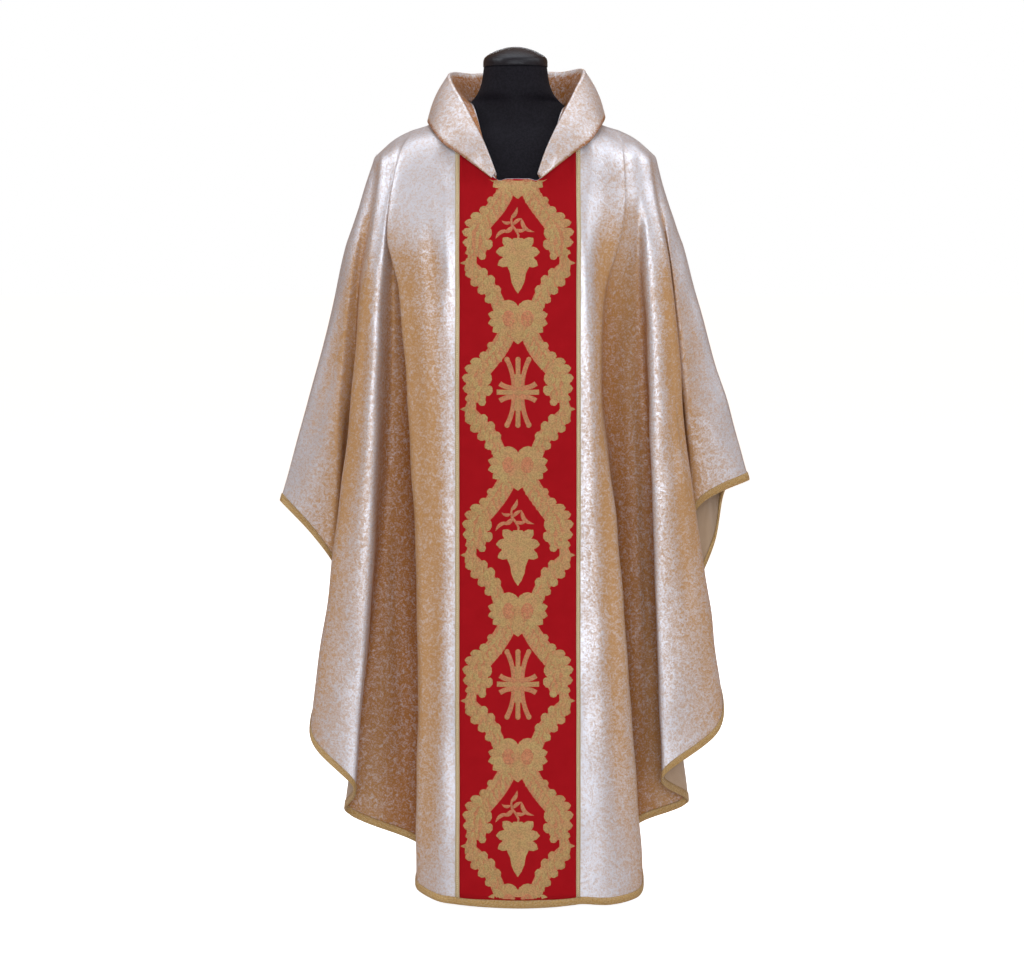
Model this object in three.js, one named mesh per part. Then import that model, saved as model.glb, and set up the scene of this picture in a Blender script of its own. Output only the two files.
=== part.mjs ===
// A chasuble on a limbless dress form with a round floor base.
// Millimetres, +Z up, the front faces -Y, the origin is the centre of the base's underside.
//
// The cloth is one loop of fold lines round the body. Each fold line starts at the neckline or
// at the shoulder seam, rolls over the shoulder, and hangs to the hem. A smooth surface is laid
// through the lines and cut at the two shoulder and sleeve seams into a front and a back.
import * as THREE from 'three';

const clamp01 = (value) => Math.min(1, Math.max(0, value));

// Cloth thicknesses and the gaps between sewn pieces
const WALL = 2;
const SEAM_GAP = 0.3;
const ORPHREY_THICKNESS = 1.2;
const BRAID_THICKNESS = 1.6;
const BINDING_THICKNESS = 1;
const BINDING_DEPTH = 12;
const STRIP_LIFT = 0.45;
const REST_GAP = 0.8;

// The garment's own centre line lies beside the form's axis by this much
const GARMENT_AXIS = 4;
const ORPHREY_HALF_WIDTH = 97;
const BRAID_WIDTH = 7;

// Neckline: a short straight bottom between two V corners, up to the neck points on the
// shoulder seam, and round the back of the neck
const NECK = {
  cornerHalf: 36.5,
  cornerY: -97,
  cornerZ: 1218,
  pointHalf: 84,
  backY: 82,
  depthPower: 0.75,
  risePower: 1.7,
};

// Height of the cloth's top along the shoulder seam, from the neck to the shoulder end
const SHOULDER_LINE = [
  { x: 76, z: 1353 },
  { x: 90, z: 1342 },
  { x: 115, z: 1327 },
  { x: 150, z: 1310 },
  { x: 180, z: 1300 },
  { x: 206, z: 1286 },
  { x: 236, z: 1260 },
];

// Where a fold line's stations lie along it: the seam, half way over the shoulder, the brow
// where the roll ends, and three hanging stations
const STATIONS = [0, 0.035, 0.075, 0.21, 0.563, 1];
const HIGH_SHARE = 0.15;
const MID_SHARE = 0.53;

// Fold lines of the front, from the braid outwards. shoulder is where the line starts on the
// shoulder seam, columns is the number of mesh columns from the line before.
const FRONT_LEFT = [
  { line: 'panel', columns: 2, shoulder: 128, brow: [140, -92, 1192], high: [146, -123], mid: [132, -157], hem: [132, -186, 19] },
  { line: 'edge', columns: 3, shoulder: 160, brow: [194, -80, 1199], high: [182, -108], mid: [159, -152], hem: [161, -168, 30] },
  { line: 'valley_near', columns: 3, shoulder: 176, brow: [198, -66, 1200], high: [186, -62], mid: [170, -56], hem: [170, -64, 90] },
  { line: 'valley_far', columns: 2, shoulder: 190, brow: [206, -56, 1203], high: [206, -48], mid: [222, -38], hem: [283, -42, 132] },
  { line: 'pleat_inner', columns: 3, shoulder: 204, brow: [214, -56, 1206], high: [225, -76], mid: [240, -106], hem: [274, -112, 196] },
  { line: 'pleat_outer', columns: 3, shoulder: 216, brow: [228, -46, 1209], high: [246, -72], mid: [284, -98], hem: [343, -93, 266] },
  { line: 'sleeve_valley', columns: 3, shoulder: 226, brow: [235, -28, 1216], high: [258, -28], mid: [276, -10], hem: [292, 2, 440] },
  { line: 'sleeve_inner', columns: 3, shoulder: 232, brow: [239, -16, 1230], high: [266, -28], mid: [300, -32], hem: [315, -20, 570] },
];
const FRONT_RIGHT = [
  { line: 'panel', columns: 2, shoulder: 128, brow: [130, -92, 1192], high: [126, -123], mid: [138, -157], hem: [158, -186, 12] },
  { line: 'edge', columns: 3, shoulder: 160, brow: [164, -80, 1192], high: [140, -110], mid: [165, -150], hem: [201, -166, 18] },
  { line: 'valley_near', columns: 3, shoulder: 176, brow: [184, -68, 1196], high: [160, -66], mid: [178, -54], hem: [206, -60, 118] },
  { line: 'valley_far', columns: 2, shoulder: 190, brow: [200, -58, 1200], high: [206, -46], mid: [240, -36], hem: [293, -40, 152] },
  { line: 'pleat_inner', columns: 3, shoulder: 204, brow: [216, -56, 1204], high: [222, -76], mid: [230, -105], hem: [250, -112, 213] },
  { line: 'pleat_outer', columns: 3, shoulder: 216, brow: [230, -46, 1209], high: [250, -72], mid: [284, -96], hem: [344, -92, 287] },
  { line: 'sleeve_valley', columns: 3, shoulder: 226, brow: [235, -28, 1216], high: [256, -26], mid: [278, -8], hem: [300, 4, 505] },
  { line: 'sleeve_inner', columns: 3, shoulder: 232, brow: [239, -16, 1230], high: [256, -28], mid: [290, -32], hem: [318, -20, 668] },
];

// Fold lines of the back, the same way
const BACK_LEFT = [
  { line: 'channel', columns: 3, shoulder: 128, brow: [138, 98, 1206], high: [134, 118], mid: [118, 134], hem: [116, 158, 52] },
  { line: 'edge', columns: 3, shoulder: 158, brow: [178, 88, 1200], high: [178, 116], mid: [170, 152], hem: [182, 178, 66] },
  { line: 'valley', columns: 3, shoulder: 184, brow: [200, 64, 1200], high: [200, 54], mid: [204, 44], hem: [222, 56, 140] },
  { line: 'pleat_inner', columns: 3, shoulder: 202, brow: [213, 58, 1203], high: [222, 80], mid: [236, 112], hem: [256, 132, 200] },
  { line: 'pleat_outer', columns: 3, shoulder: 216, brow: [228, 44, 1208], high: [246, 68], mid: [280, 98], hem: [326, 106, 290] },
  { line: 'sleeve_valley', columns: 3, shoulder: 226, brow: [235, 26, 1216], high: [254, 22], mid: [268, 18], hem: [278, 18, 426] },
  { line: 'sleeve_inner', columns: 3, shoulder: 232, brow: [239, 15, 1230], high: [264, 28], mid: [298, 44], hem: [308, 44, 562] },
];
const BACK_RIGHT = [
  { line: 'channel', columns: 3, shoulder: 128, brow: [136, 98, 1206], high: [130, 120], mid: [124, 138], hem: [130, 160, 50] },
  { line: 'edge', columns: 3, shoulder: 158, brow: [174, 88, 1200], high: [170, 118], mid: [174, 150], hem: [194, 176, 62] },
  { line: 'valley', columns: 3, shoulder: 184, brow: [198, 64, 1200], high: [198, 56], mid: [208, 42], hem: [232, 52, 136] },
  { line: 'pleat_inner', columns: 3, shoulder: 202, brow: [213, 58, 1203], high: [220, 80], mid: [240, 110], hem: [268, 128, 196] },
  { line: 'pleat_outer', columns: 3, shoulder: 216, brow: [228, 44, 1208], high: [246, 70], mid: [282, 98], hem: [330, 104, 300] },
  { line: 'sleeve_valley', columns: 3, shoulder: 226, brow: [235, 26, 1216], high: [252, 22], mid: [272, 18], hem: [296, 22, 474] },
  { line: 'sleeve_inner', columns: 3, shoulder: 231, brow: [238, 16, 1228], high: [262, 28], mid: [300, 44], hem: [348, 62, 596] },
  { line: 'sleeve_middle', columns: 2, shoulder: 234, brow: [241, 8, 1238], high: [266, 15], mid: [314, 22], hem: [374, 32, 702] },
];

// The seam down each sleeve, from shoulder end to sleeve tip
const SLEEVE_COLUMNS = 3;
const SLEEVE_LEFT = { shoulder: 236, brow: [244, 0, 1249], high: [274, 0], mid: [327, 0], hem: [404, 0, 672] };
const SLEEVE_RIGHT = { shoulder: 236, brow: [244, 0, 1249], high: [270, 0], mid: [326, 0], hem: [402, 0, 709] };

// Depth and height of the flat middle of the front and of the back at each station:
// at the centre line, and how much it falls back towards the braid
const FRONT_MIDDLE = {
  browY: -108,
  browZ: 1188,
  highY: -136,
  midY: -166,
  hemY: -203,
  hemZ: 10,
  edgeBack: 9,
  edgeUp: 5,
  fullness: (half) => {
    const fromCorner = (half - NECK.cornerHalf) / (ORPHREY_HALF_WIDTH - NECK.cornerHalf);
    return 0.3 + 0.55 * clamp01(fromCorner);
  },
};
const BACK_MIDDLE = {
  browY: 112,
  browZ: 1226,
  highY: 134,
  midY: 160,
  hemY: 204,
  hemZ: 32,
  edgeBack: 12,
  edgeUp: 6,
  fullness: () => 0.85,
};
const V_COLUMNS = 6;
const BACK_NECK_COLUMNS = 5;

// Rows down the cloth: one just under the neckline, some over the shoulder, the rest below it
const EDGE_ROW = 0.0035;
const ROLL_ROWS = 4;
const HANGING_ROWS = 10;
const ROLL_END = 0.08;

// Collar: a stand that rises from the neckline, folds over and falls outside. fold is the top
// of the fold and edge the free lower edge, right of the centre line, from the V corner (0)
// past the neck point (2) to the centre back (4). baseLift is the stand's clearance over the
// cloth, and rightHigher is what the right side stands higher than the left.
const COLLAR = [
  { at: 0, fold: [34, -105, 1227], edge: [42, -111, 1219], baseLift: 2.4, rightHigher: 0 },
  { at: 1, fold: [62, -84, 1296], edge: [92, -97, 1256], baseLift: 2.9, rightHigher: 2 },
  { at: 1.5, fold: [88, -48, 1343], edge: [129, -75, 1283], baseLift: 1.6, rightHigher: 4 },
  { at: 1.75, fold: [101, -23, 1366], edge: [144, -44, 1304], baseLift: 0.9, rightHigher: 6 },
  { at: 2, fold: [113, 4, 1388], edge: [151, -4, 1316], baseLift: 0.7, rightHigher: 7 },
  { at: 3, fold: [72, 74, 1403], edge: [104, 96, 1320], baseLift: 0.7, rightHigher: 2 },
  { at: 4, fold: [0, 96, 1407], edge: [0, 126, 1322], baseLift: 0.7, rightHigher: 0 },
];
const COLLAR_FOLD_RADIUS = 3.2;
const COLLAR_FOLD_STEPS = 4;
const COLLAR_FALL_BULGE = 5;
const COLLAR_FALL_STEPS = 3;

// Dress form below the shoulders: half width, half depth
const FORM_BODY = [
  { z: 1225, halfWidth: 233, halfDepth: 89 },
  { z: 1180, halfWidth: 222, halfDepth: 97 },
  { z: 1110, halfWidth: 196, halfDepth: 104 },
  { z: 1000, halfWidth: 174, halfDepth: 100 },
  { z: 890, halfWidth: 164, halfDepth: 94 },
  { z: 780, halfWidth: 170, halfDepth: 97 },
  { z: 690, halfWidth: 176, halfDepth: 102 },
  { z: 640, halfWidth: 174, halfDepth: 100 },
  { z: 622, halfWidth: 164, halfDepth: 92 },
];
// Dress form's neck
const FORM_NECK = [
  { z: 1408, halfWidth: 54, halfDepth: 54 },
  { z: 1380, halfWidth: 57, halfDepth: 56 },
  { z: 1362, halfWidth: 65, halfDepth: 58 },
];
// For each point of the shoulder line, the half depth of the form's ring there and how full
// the ring is: 2 is an ellipse, and less draws its ends out to a narrower shoulder ridge
const FORM_SHOULDERS = [
  { halfDepth: 57, power: 1.15 },
  { halfDepth: 58, power: 1.1 },
  { halfDepth: 60, power: 1.1 },
  { halfDepth: 63, power: 1.15 },
  { halfDepth: 68, power: 1.2 },
  { halfDepth: 76, power: 1.25 },
  { halfDepth: 84, power: 1.4 },
];
const FORM_BODY_POWER = 2;
const FORM_SIDES = 30;
const NECK_CAP = { bottomZ: 1408.4, topZ: 1443, radius: 55, crown: 12, tilt: 6 };
const POLE_RADIUS = 15;
const BASE = { radius: 130, thickness: 12, edgeRadius: 4 };

const material = (color, roughness, metalness) => (
  new THREE.MeshStandardMaterial({ color, roughness, metalness }));
const clothMaterial = () => material(0xc9b39a, 0.5, 0.25);
const orphreyMaterial = () => material(0xa5121c, 0.65, 0);
const goldMaterial = () => material(0xb98f45, 0.45, 0.3);
const blackClothMaterial = () => material(0x17151b, 0.8, 0);
const blackMetalMaterial = () => material(0x1c1c1e, 0.45, 0.6);

const part = new THREE.Group();

// Three-point slope of values at knot i
function slopeAt(knots, values, i) {
  const last = knots.length - 1;
  const before = Math.max(i - 1, 0);
  const after = Math.min(i + 1, last);
  const left = i > 0 ? (values[i] - values[before]) / (knots[i] - knots[before]) : null;
  const right = i < last ? (values[after] - values[i]) / (knots[after] - knots[i]) : null;
  if (left === null) return right;
  if (right === null) return left;
  const leftSpan = knots[i] - knots[before];
  const rightSpan = knots[after] - knots[i];
  return (left * rightSpan + right * leftSpan) / (leftSpan + rightSpan);
}

// Smooth curve through values at uneven knots
function splineValue(knots, values, t) {
  let i = 0;
  while (i < knots.length - 2 && t > knots[i + 1]) i += 1;
  const span = knots[i + 1] - knots[i];
  const s = (t - knots[i]) / span;
  const m0 = slopeAt(knots, values, i) * span;
  const m1 = slopeAt(knots, values, i + 1) * span;
  const s2 = s * s;
  const s3 = s2 * s;
  return (2 * s3 - 3 * s2 + 1) * values[i] + (s3 - 2 * s2 + s) * m0
    + (-2 * s3 + 3 * s2) * values[i + 1] + (s3 - s2) * m1;
}

function splinePoint(knots, points, t) {
  const axis = (name) => splineValue(knots, points.map((point) => point[name]), t);
  return new THREE.Vector3(axis('x'), axis('y'), axis('z'));
}

const shoulderX = SHOULDER_LINE.map((point) => point.x);
const shoulderZ = SHOULDER_LINE.map((point) => point.z);
const shoulderHeight = (x) => splineValue(shoulderX, shoulderZ, x);

// Six stations of a fold line from its start, its brow and its hanging stations. A full roll
// leaves the start level and comes down upright at the brow, a quarter of an ellipse. A roll
// of 0 is the straight way between them.
function stationsOf(start, brow, high, mid, hem, fullness) {
  const forward = 0.5 + (Math.SQRT1_2 - 0.5) * fullness;
  const roll = new THREE.Vector3(
    (start.x + brow.x) / 2,
    start.y + (brow.y - start.y) * forward,
    start.z - (start.z - brow.z) * (1 - forward),
  );
  const fall = brow.z - hem.z;
  const highPoint = new THREE.Vector3(high[0], high[1], brow.z - fall * HIGH_SHARE);
  const midPoint = new THREE.Vector3(mid[0], mid[1], brow.z - fall * MID_SHARE);
  return [start, roll, brow, highPoint, midPoint, hem];
}

function foldLine(row, side) {
  const start = new THREE.Vector3(side * row.shoulder, 0, shoulderHeight(row.shoulder));
  const brow = new THREE.Vector3(side * row.brow[0], row.brow[1], row.brow[2]);
  const hem = new THREE.Vector3(side * row.hem[0], row.hem[1], row.hem[2]);
  const high = [side * row.high[0], row.high[1]];
  const mid = [side * row.mid[0], row.mid[1]];
  return { columns: row.columns, stations: stationsOf(start, brow, high, mid, hem, 1) };
}

// Start of a line of the flat front middle, at distance d from the garment's centre line
const neckPointHeight = (side) => shoulderHeight(Math.abs(GARMENT_AXIS + side * NECK.pointHalf));
function frontStart(d) {
  const half = Math.abs(d);
  const x = GARMENT_AXIS + d;
  if (half <= NECK.cornerHalf) return new THREE.Vector3(x, NECK.cornerY, NECK.cornerZ);
  if (half < NECK.pointHalf) {
    const turn = (half - NECK.cornerHalf) / (NECK.pointHalf - NECK.cornerHalf) * Math.PI / 2;
    const rise = neckPointHeight(Math.sign(d)) - NECK.cornerZ;
    const depth = NECK.cornerY * Math.cos(turn) ** NECK.depthPower;
    return new THREE.Vector3(x, depth, NECK.cornerZ + rise * Math.sin(turn) ** NECK.risePower);
  }
  return new THREE.Vector3(x, 0, shoulderHeight(Math.abs(x)));
}

function backStart(d) {
  const share = d / NECK.pointHalf;
  const depth = NECK.backY * Math.sqrt(Math.max(0, 1 - share * share));
  const height = neckPointHeight(-1) + (neckPointHeight(1) - neckPointHeight(-1)) * (share + 1) / 2;
  return new THREE.Vector3(GARMENT_AXIS + d, depth, height);
}

function middleLine(d, start, middle, halfWidth, columns) {
  const share = (d / halfWidth) ** 2;
  const back = -Math.sign(middle.hemY) * middle.edgeBack * share;
  const x = GARMENT_AXIS + d;
  const brow = new THREE.Vector3(x, middle.browY + back, middle.browZ);
  const hem = new THREE.Vector3(x, middle.hemY + back, middle.hemZ + middle.edgeUp * share);
  const high = [x, middle.highY + back];
  const mid = [x, middle.midY + back];
  return { d, columns, stations: stationsOf(start, brow, high, mid, hem, middle.fullness(Math.abs(d))) };
}

// Lines of the front middle from the centre line to the braid's outer edge
const braidEdge = ORPHREY_HALF_WIDTH + BRAID_WIDTH;
const frontOffsets = [NECK.cornerHalf / 2, NECK.cornerHalf];
for (let i = 1; i <= V_COLUMNS; i += 1) {
  frontOffsets.push(NECK.cornerHalf + (NECK.pointHalf - NECK.cornerHalf) * i / V_COLUMNS);
}
frontOffsets.push(ORPHREY_HALF_WIDTH, braidEdge);
const backOffsets = [];
for (let i = 1; i <= BACK_NECK_COLUMNS; i += 1) {
  backOffsets.push(NECK.pointHalf * Math.sin(i / BACK_NECK_COLUMNS * Math.PI / 2));
}
const frontMiddle = (d) => middleLine(d, frontStart(d), FRONT_MIDDLE, braidEdge, 1);
const backMiddle = (d) => middleLine(d, backStart(d), BACK_MIDDLE, NECK.pointHalf, 1);

// The whole loop, seen from above it runs left sleeve, front, right sleeve, back
const sleeveLeft = { ...foldLine({ ...SLEEVE_LEFT, columns: SLEEVE_COLUMNS }, -1), seam: true };
const sleeveRight = { ...foldLine({ ...SLEEVE_RIGHT, columns: SLEEVE_COLUMNS }, 1), seam: true };
const outwards = (lines, side) => lines.map((row) => foldLine(row, side));
const inwards = (lines, side, nextColumns) => {
  const turned = outwards(lines, side).reverse();
  const counts = [nextColumns, ...turned.map((line) => line.columns)];
  return turned.map((line, i) => ({ ...line, columns: counts[i] }));
};
const frontLines = [
  sleeveLeft,
  ...inwards(FRONT_LEFT, -1, SLEEVE_COLUMNS),
  { ...frontMiddle(-braidEdge), columns: FRONT_LEFT[0].columns },
  ...frontOffsets.slice(0, -1).reverse().map((d) => frontMiddle(-d)),
  frontMiddle(0),
  ...frontOffsets.map((d) => frontMiddle(d)),
  ...outwards(FRONT_RIGHT, 1),
  sleeveRight,
];
const backLines = [
  sleeveRight,
  ...inwards(BACK_RIGHT, 1, SLEEVE_COLUMNS),
  { ...backMiddle(NECK.pointHalf), columns: BACK_RIGHT[0].columns },
  ...backOffsets.slice(0, -1).reverse().map((d) => backMiddle(d)),
  backMiddle(0),
  ...backOffsets.map((d) => backMiddle(-d)),
  ...outwards(BACK_LEFT, -1),
  sleeveLeft,
];

// Knots round the loop are the spacing of the lines at half their fall
const loop = [...frontLines.slice(0, -1), ...backLines.slice(0, -1)];
const MID_STATION = 4;
const loopKnots = [0];
for (let i = 1; i <= loop.length; i += 1) {
  const here = loop[i % loop.length].stations[MID_STATION];
  loopKnots.push(loopKnots[i - 1] + here.distanceTo(loop[i - 1].stations[MID_STATION]));
}

// A station's point anywhere round the loop, smooth across the seams as well
function loopPoint(station, index, share) {
  const wrap = (i) => loop[(i + loop.length) % loop.length].stations[station];
  const length = loopKnots[loop.length];
  const knot = (i) => {
    const turns = Math.floor(i / loop.length);
    return loopKnots[i - turns * loop.length] + turns * length;
  };
  const around = [index - 1, index, index + 1, index + 2];
  const knots = around.map(knot);
  return splinePoint(knots, around.map(wrap), knots[1] + share * (knots[2] - knots[1]));
}

// Rows as shares of a column down to the top of the hem binding
const rowShares = [0, EDGE_ROW];
for (let i = 1; i <= ROLL_ROWS; i += 1) rowShares.push(ROLL_END * i / ROLL_ROWS);
for (let i = 1; i <= HANGING_ROWS; i += 1) {
  rowShares.push(ROLL_END + (1 - ROLL_END) * i / HANGING_ROWS);
}
const bindingRow = rowShares.length - 1;

function columnOf(stations) {
  const length = stations.slice(1).reduce((sum, point, i) => sum + point.distanceTo(stations[i]), 0);
  const bindingTop = 1 - BINDING_DEPTH / length;
  const points = rowShares.map((share) => splinePoint(STATIONS, stations, share * bindingTop));
  points.push(stations[stations.length - 1].clone());
  return points;
}

// Columns of points for the loop. Between two lines that start on the shoulder seam the
// columns start on it as well.
const onShoulder = (line) => Math.abs(line.stations[0].y) < SEAM_GAP / 2;
const columns = [];
loop.forEach((line, index) => {
  const next = loop[(index + 1) % loop.length];
  for (let k = 0; k < next.columns; k += 1) {
    const stations = STATIONS.map((_, station) => loopPoint(station, index, k / next.columns));
    if (onShoulder(line) && onShoulder(next)) {
      stations[0].lerpVectors(line.stations[0], next.stations[0], k / next.columns);
      stations[0].z = shoulderHeight(Math.abs(stations[0].x));
    }
    columns.push({ points: columnOf(stations), line: k === 0 ? line : null });
  }
});
const rightSeam = columns.findIndex((column) => column.line === sleeveRight);
const rows = rowShares.length + 1;

// Outward normals of the loop. On the seams they lie in the seam's own plane, so that the
// front's edge and the back's edge stay parallel.
const MITRE_LIMIT = 0.3;
function faceNormal(a, b, c, d) {
  return new THREE.Vector3().crossVectors(c.clone().sub(a), d.clone().sub(b));
}
columns.forEach((column, j) => {
  column.faces = column.points.map(() => []);
  column.normals = column.points.map((_, i) => {
    const sum = new THREE.Vector3();
    for (const dj of [-1, 0]) {
      for (const di of [-1, 0]) {
        if (i + di < 0 || i + di + 1 >= rows) continue;
        const left = columns[(j + dj + columns.length) % columns.length].points;
        const right = columns[(j + dj + 1 + columns.length) % columns.length].points;
        const up = i + di;
        const normal = faceNormal(left[up], left[up + 1], right[up + 1], right[up]).normalize();
        column.faces[i].push(normal);
        sum.add(normal);
      }
    }
    return sum.normalize();
  });
  const onSeam = column.line && column.line.seam;
  const startsOnShoulder = Math.abs(column.points[0].y) < SEAM_GAP / 2;
  column.normals.forEach((normal, i) => {
    if (onSeam || (startsOnShoulder && i === 0)) {
      normal.y = 0;
      normal.normalize();
    }
  });
  // How much further a layer is lifted at a fold, so that it clears the faces beside it
  column.mitres = column.normals.map((normal, i) => (
    1 / Math.max(MITRE_LIMIT, Math.min(...column.faces[i].map((face) => face.dot(normal))))));
});

// A panel's columns, moved off the seams by half the seam gap
function panelColumns(from, to, side) {
  const panel = [];
  for (let j = from; j <= to; j += 1) {
    const source = columns[j % columns.length];
    const onSeam = j === from || j === to;
    const points = source.points.map((point, i) => {
      const moved = point.clone();
      const atShoulder = i === 0 && Math.abs(point.y) < SEAM_GAP / 2;
      if (onSeam || atShoulder) moved.y = side * SEAM_GAP / 2;
      return moved;
    });
    panel.push({ points, normals: source.normals, mitres: source.mitres, line: source.line });
  }
  return panel;
}
const frontPanel = panelColumns(0, rightSeam, -1);
const backPanel = panelColumns(rightSeam, columns.length, 1);

function meshFromTriangles(name, positions, triangles, finish) {
  const geometry = new THREE.BufferGeometry();
  const numbers = positions.flatMap((p) => [p.x, p.y, p.z]);
  geometry.setAttribute('position', new THREE.Float32BufferAttribute(numbers, 3));
  geometry.setIndex(triangles);
  geometry.computeVertexNormals();
  const mesh = new THREE.Mesh(geometry, finish);
  mesh.name = name;
  part.add(mesh);
  return mesh;
}

// The skin between strip sections. Each quad is cut along the same diagonal of the cloth on
// both faces of a wall, so that layers that lie on each other fit.
function stripSkin(sections, goesDown) {
  const around = sections[0].length;
  const triangles = [];
  for (let s = 0; s < sections.length - 1; s += 1) {
    for (let k = 0; k < around; k += 1) {
      const next = (k + 1) % around;
      const a = s * around + k;
      const b = a + around;
      const c = (s + 1) * around + next;
      const d = s * around + next;
      if (goesDown(k, around)) triangles.push(a, c, b, a, d, c);
      else triangles.push(a, d, b, b, d, c);
    }
  }
  return { triangles, around };
}
const downFirst = (k, around) => k < around / 2;

// A strip section is a closed string of points made of an outer row and an inner row, so its
// end caps are a row of quads
function capStrip(body, section, flip) {
  const { around, triangles } = body;
  const base = section * around;
  const half = around / 2;
  for (let k = 0; k < half - 1; k += 1) {
    const a = base + k;
    const b = base + k + 1;
    const c = base + around - 2 - k;
    const d = base + around - 1 - k;
    if (flip) triangles.push(a, b, c, a, c, d);
    else triangles.push(a, c, b, a, d, c);
  }
}

function addWall(name, sections, finish, goesDown = downFirst) {
  const body = stripSkin(sections, goesDown);
  capStrip(body, 0, false);
  capStrip(body, sections.length - 1, true);
  return meshFromTriangles(name, sections.flat(), body.triangles, finish);
}

// A cloth wall from columns: its outer points go down, its inner points come back up
const lifted = (column, i, height) => column.points[i].clone().addScaledVector(column.normals[i], height);
function wallSection(column, firstRow, lastRow, outer, inner) {
  const down = [];
  const up = [];
  for (let i = firstRow; i <= lastRow; i += 1) {
    down.push(lifted(column, i, outer));
    up.unshift(lifted(column, i, inner));
  }
  return [...down, ...up];
}

addWall('front', frontPanel.map((c) => wallSection(c, 0, rows - 1, 0, -WALL)), clothMaterial());
addWall('back', backPanel.map((c) => wallSection(c, 0, rows - 1, 0, -WALL)), clothMaterial());

// Orphrey and braids: strips on the front's own points, from under the neckline to the binding.
// Beside the V they start lower, clear of the collar's stand.
const STRIP_START_AT_V = 0.3;
function stripStart(half) {
  if (half <= NECK.cornerHalf + 0.01) return 0;
  const up = (half - NECK.cornerHalf) / (NECK.pointHalf - NECK.cornerHalf);
  return clamp01(STRIP_START_AT_V + (1 - STRIP_START_AT_V) * up);
}
function frontStrip(name, fromOffset, toOffset, thickness, finish) {
  const strip = frontPanel.filter(({ line }) => line && line.d >= fromOffset && line.d <= toOffset);
  const sections = strip.map((column, j) => {
    const sideways = j === 0 ? SEAM_GAP / 2 : j === strip.length - 1 ? -SEAM_GAP / 2 : 0;
    const section = wallSection(column, 1, bindingRow, STRIP_LIFT + thickness, STRIP_LIFT);
    const last = bindingRow - 1;
    const start = stripStart(Math.abs(column.line.d));
    section[0].lerp(section[1], start);
    section[2 * last + 1].lerp(section[2 * last], start);
    for (const k of [last, last + 1]) section[k].z += SEAM_GAP;
    section.forEach((point) => { point.x += sideways; });
    return section;
  });
  addWall(name, sections, finish);
}
const orphreyEdge = ORPHREY_HALF_WIDTH;
frontStrip('front_orphrey', -orphreyEdge, orphreyEdge, ORPHREY_THICKNESS, orphreyMaterial());
frontStrip('orphrey_braid_left', -braidEdge, -orphreyEdge, BRAID_THICKNESS, goldMaterial());
frontStrip('orphrey_braid_right', orphreyEdge, braidEdge, BRAID_THICKNESS, goldMaterial());

// Hem binding: a tape folded round the cloth's edge, so its section is a U
function hemBinding(name, panel) {
  const outside = SEAM_GAP + BINDING_THICKNESS;
  const hem = rows - 1;
  const sections = panel.map((column) => {
    const down = column.points[hem].clone().sub(column.points[bindingRow]).normalize();
    const over = (row, height) => lifted(column, row, height * column.mitres[row]);
    const under = (row, height) => lifted(column, row, -WALL - height * column.mitres[row]);
    const below = (point, depth) => point.addScaledVector(down, depth);
    return [
      over(bindingRow, outside),
      below(over(hem, outside), outside),
      below(under(hem, outside), outside),
      under(bindingRow, outside),
      under(bindingRow, SEAM_GAP),
      below(under(hem, SEAM_GAP), SEAM_GAP),
      below(over(hem, SEAM_GAP), SEAM_GAP),
      over(bindingRow, SEAM_GAP),
    ];
  });
  addWall(name, sections, goldMaterial(), (k) => k < 2 || k === 4);
}
hemBinding('front_hem_binding', frontPanel);
hemBinding('back_hem_binding', backPanel);

// Collar: its sections stand on the neckline's own points
const isFrontNeck = ({ line }) => line && line.d !== undefined
  && Math.abs(line.d) >= NECK.cornerHalf - 0.01 && Math.abs(line.d) <= NECK.pointHalf + 0.01;
const isBackNeck = ({ line }) => line && line.d !== undefined;
const leftV = frontPanel.filter((c) => isFrontNeck(c) && c.line.d < 0).reverse();
const rightV = frontPanel.filter((c) => isFrontNeck(c) && c.line.d > 0);
const roundBack = backPanel.filter(isBackNeck).reverse();
const neckline = [
  ...leftV.map((column, i) => ({ column, at: 2 * i / V_COLUMNS })),
  ...roundBack.slice(1, -1).map((column, i) => ({ column, at: 2 + 2 * (i + 1) / BACK_NECK_COLUMNS })),
  ...rightV.reverse().map((column, i) => ({ column, at: 6 + 2 * i / V_COLUMNS })),
];
function collarPoint(field, at) {
  const last = COLLAR[COLLAR.length - 1].at;
  const otherSide = COLLAR.slice(0, -1).reverse();
  const mirrored = [...COLLAR, ...otherSide.map((row) => ({ ...row, at: 2 * last - row.at }))];
  const points = mirrored.map((row) => {
    const onRight = row.at > last;
    const side = onRight ? 1 : -1;
    const higher = onRight ? row.rightHigher : 0;
    const [x, y, z] = row[field];
    return new THREE.Vector3(GARMENT_AXIS / 2 + side * x, y, z + higher);
  });
  return splinePoint(mirrored.map((row) => row.at), points, at);
}
const collarStations = COLLAR.map((row) => row.at);
const collarLifts = COLLAR.map((row) => row.baseLift);
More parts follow.
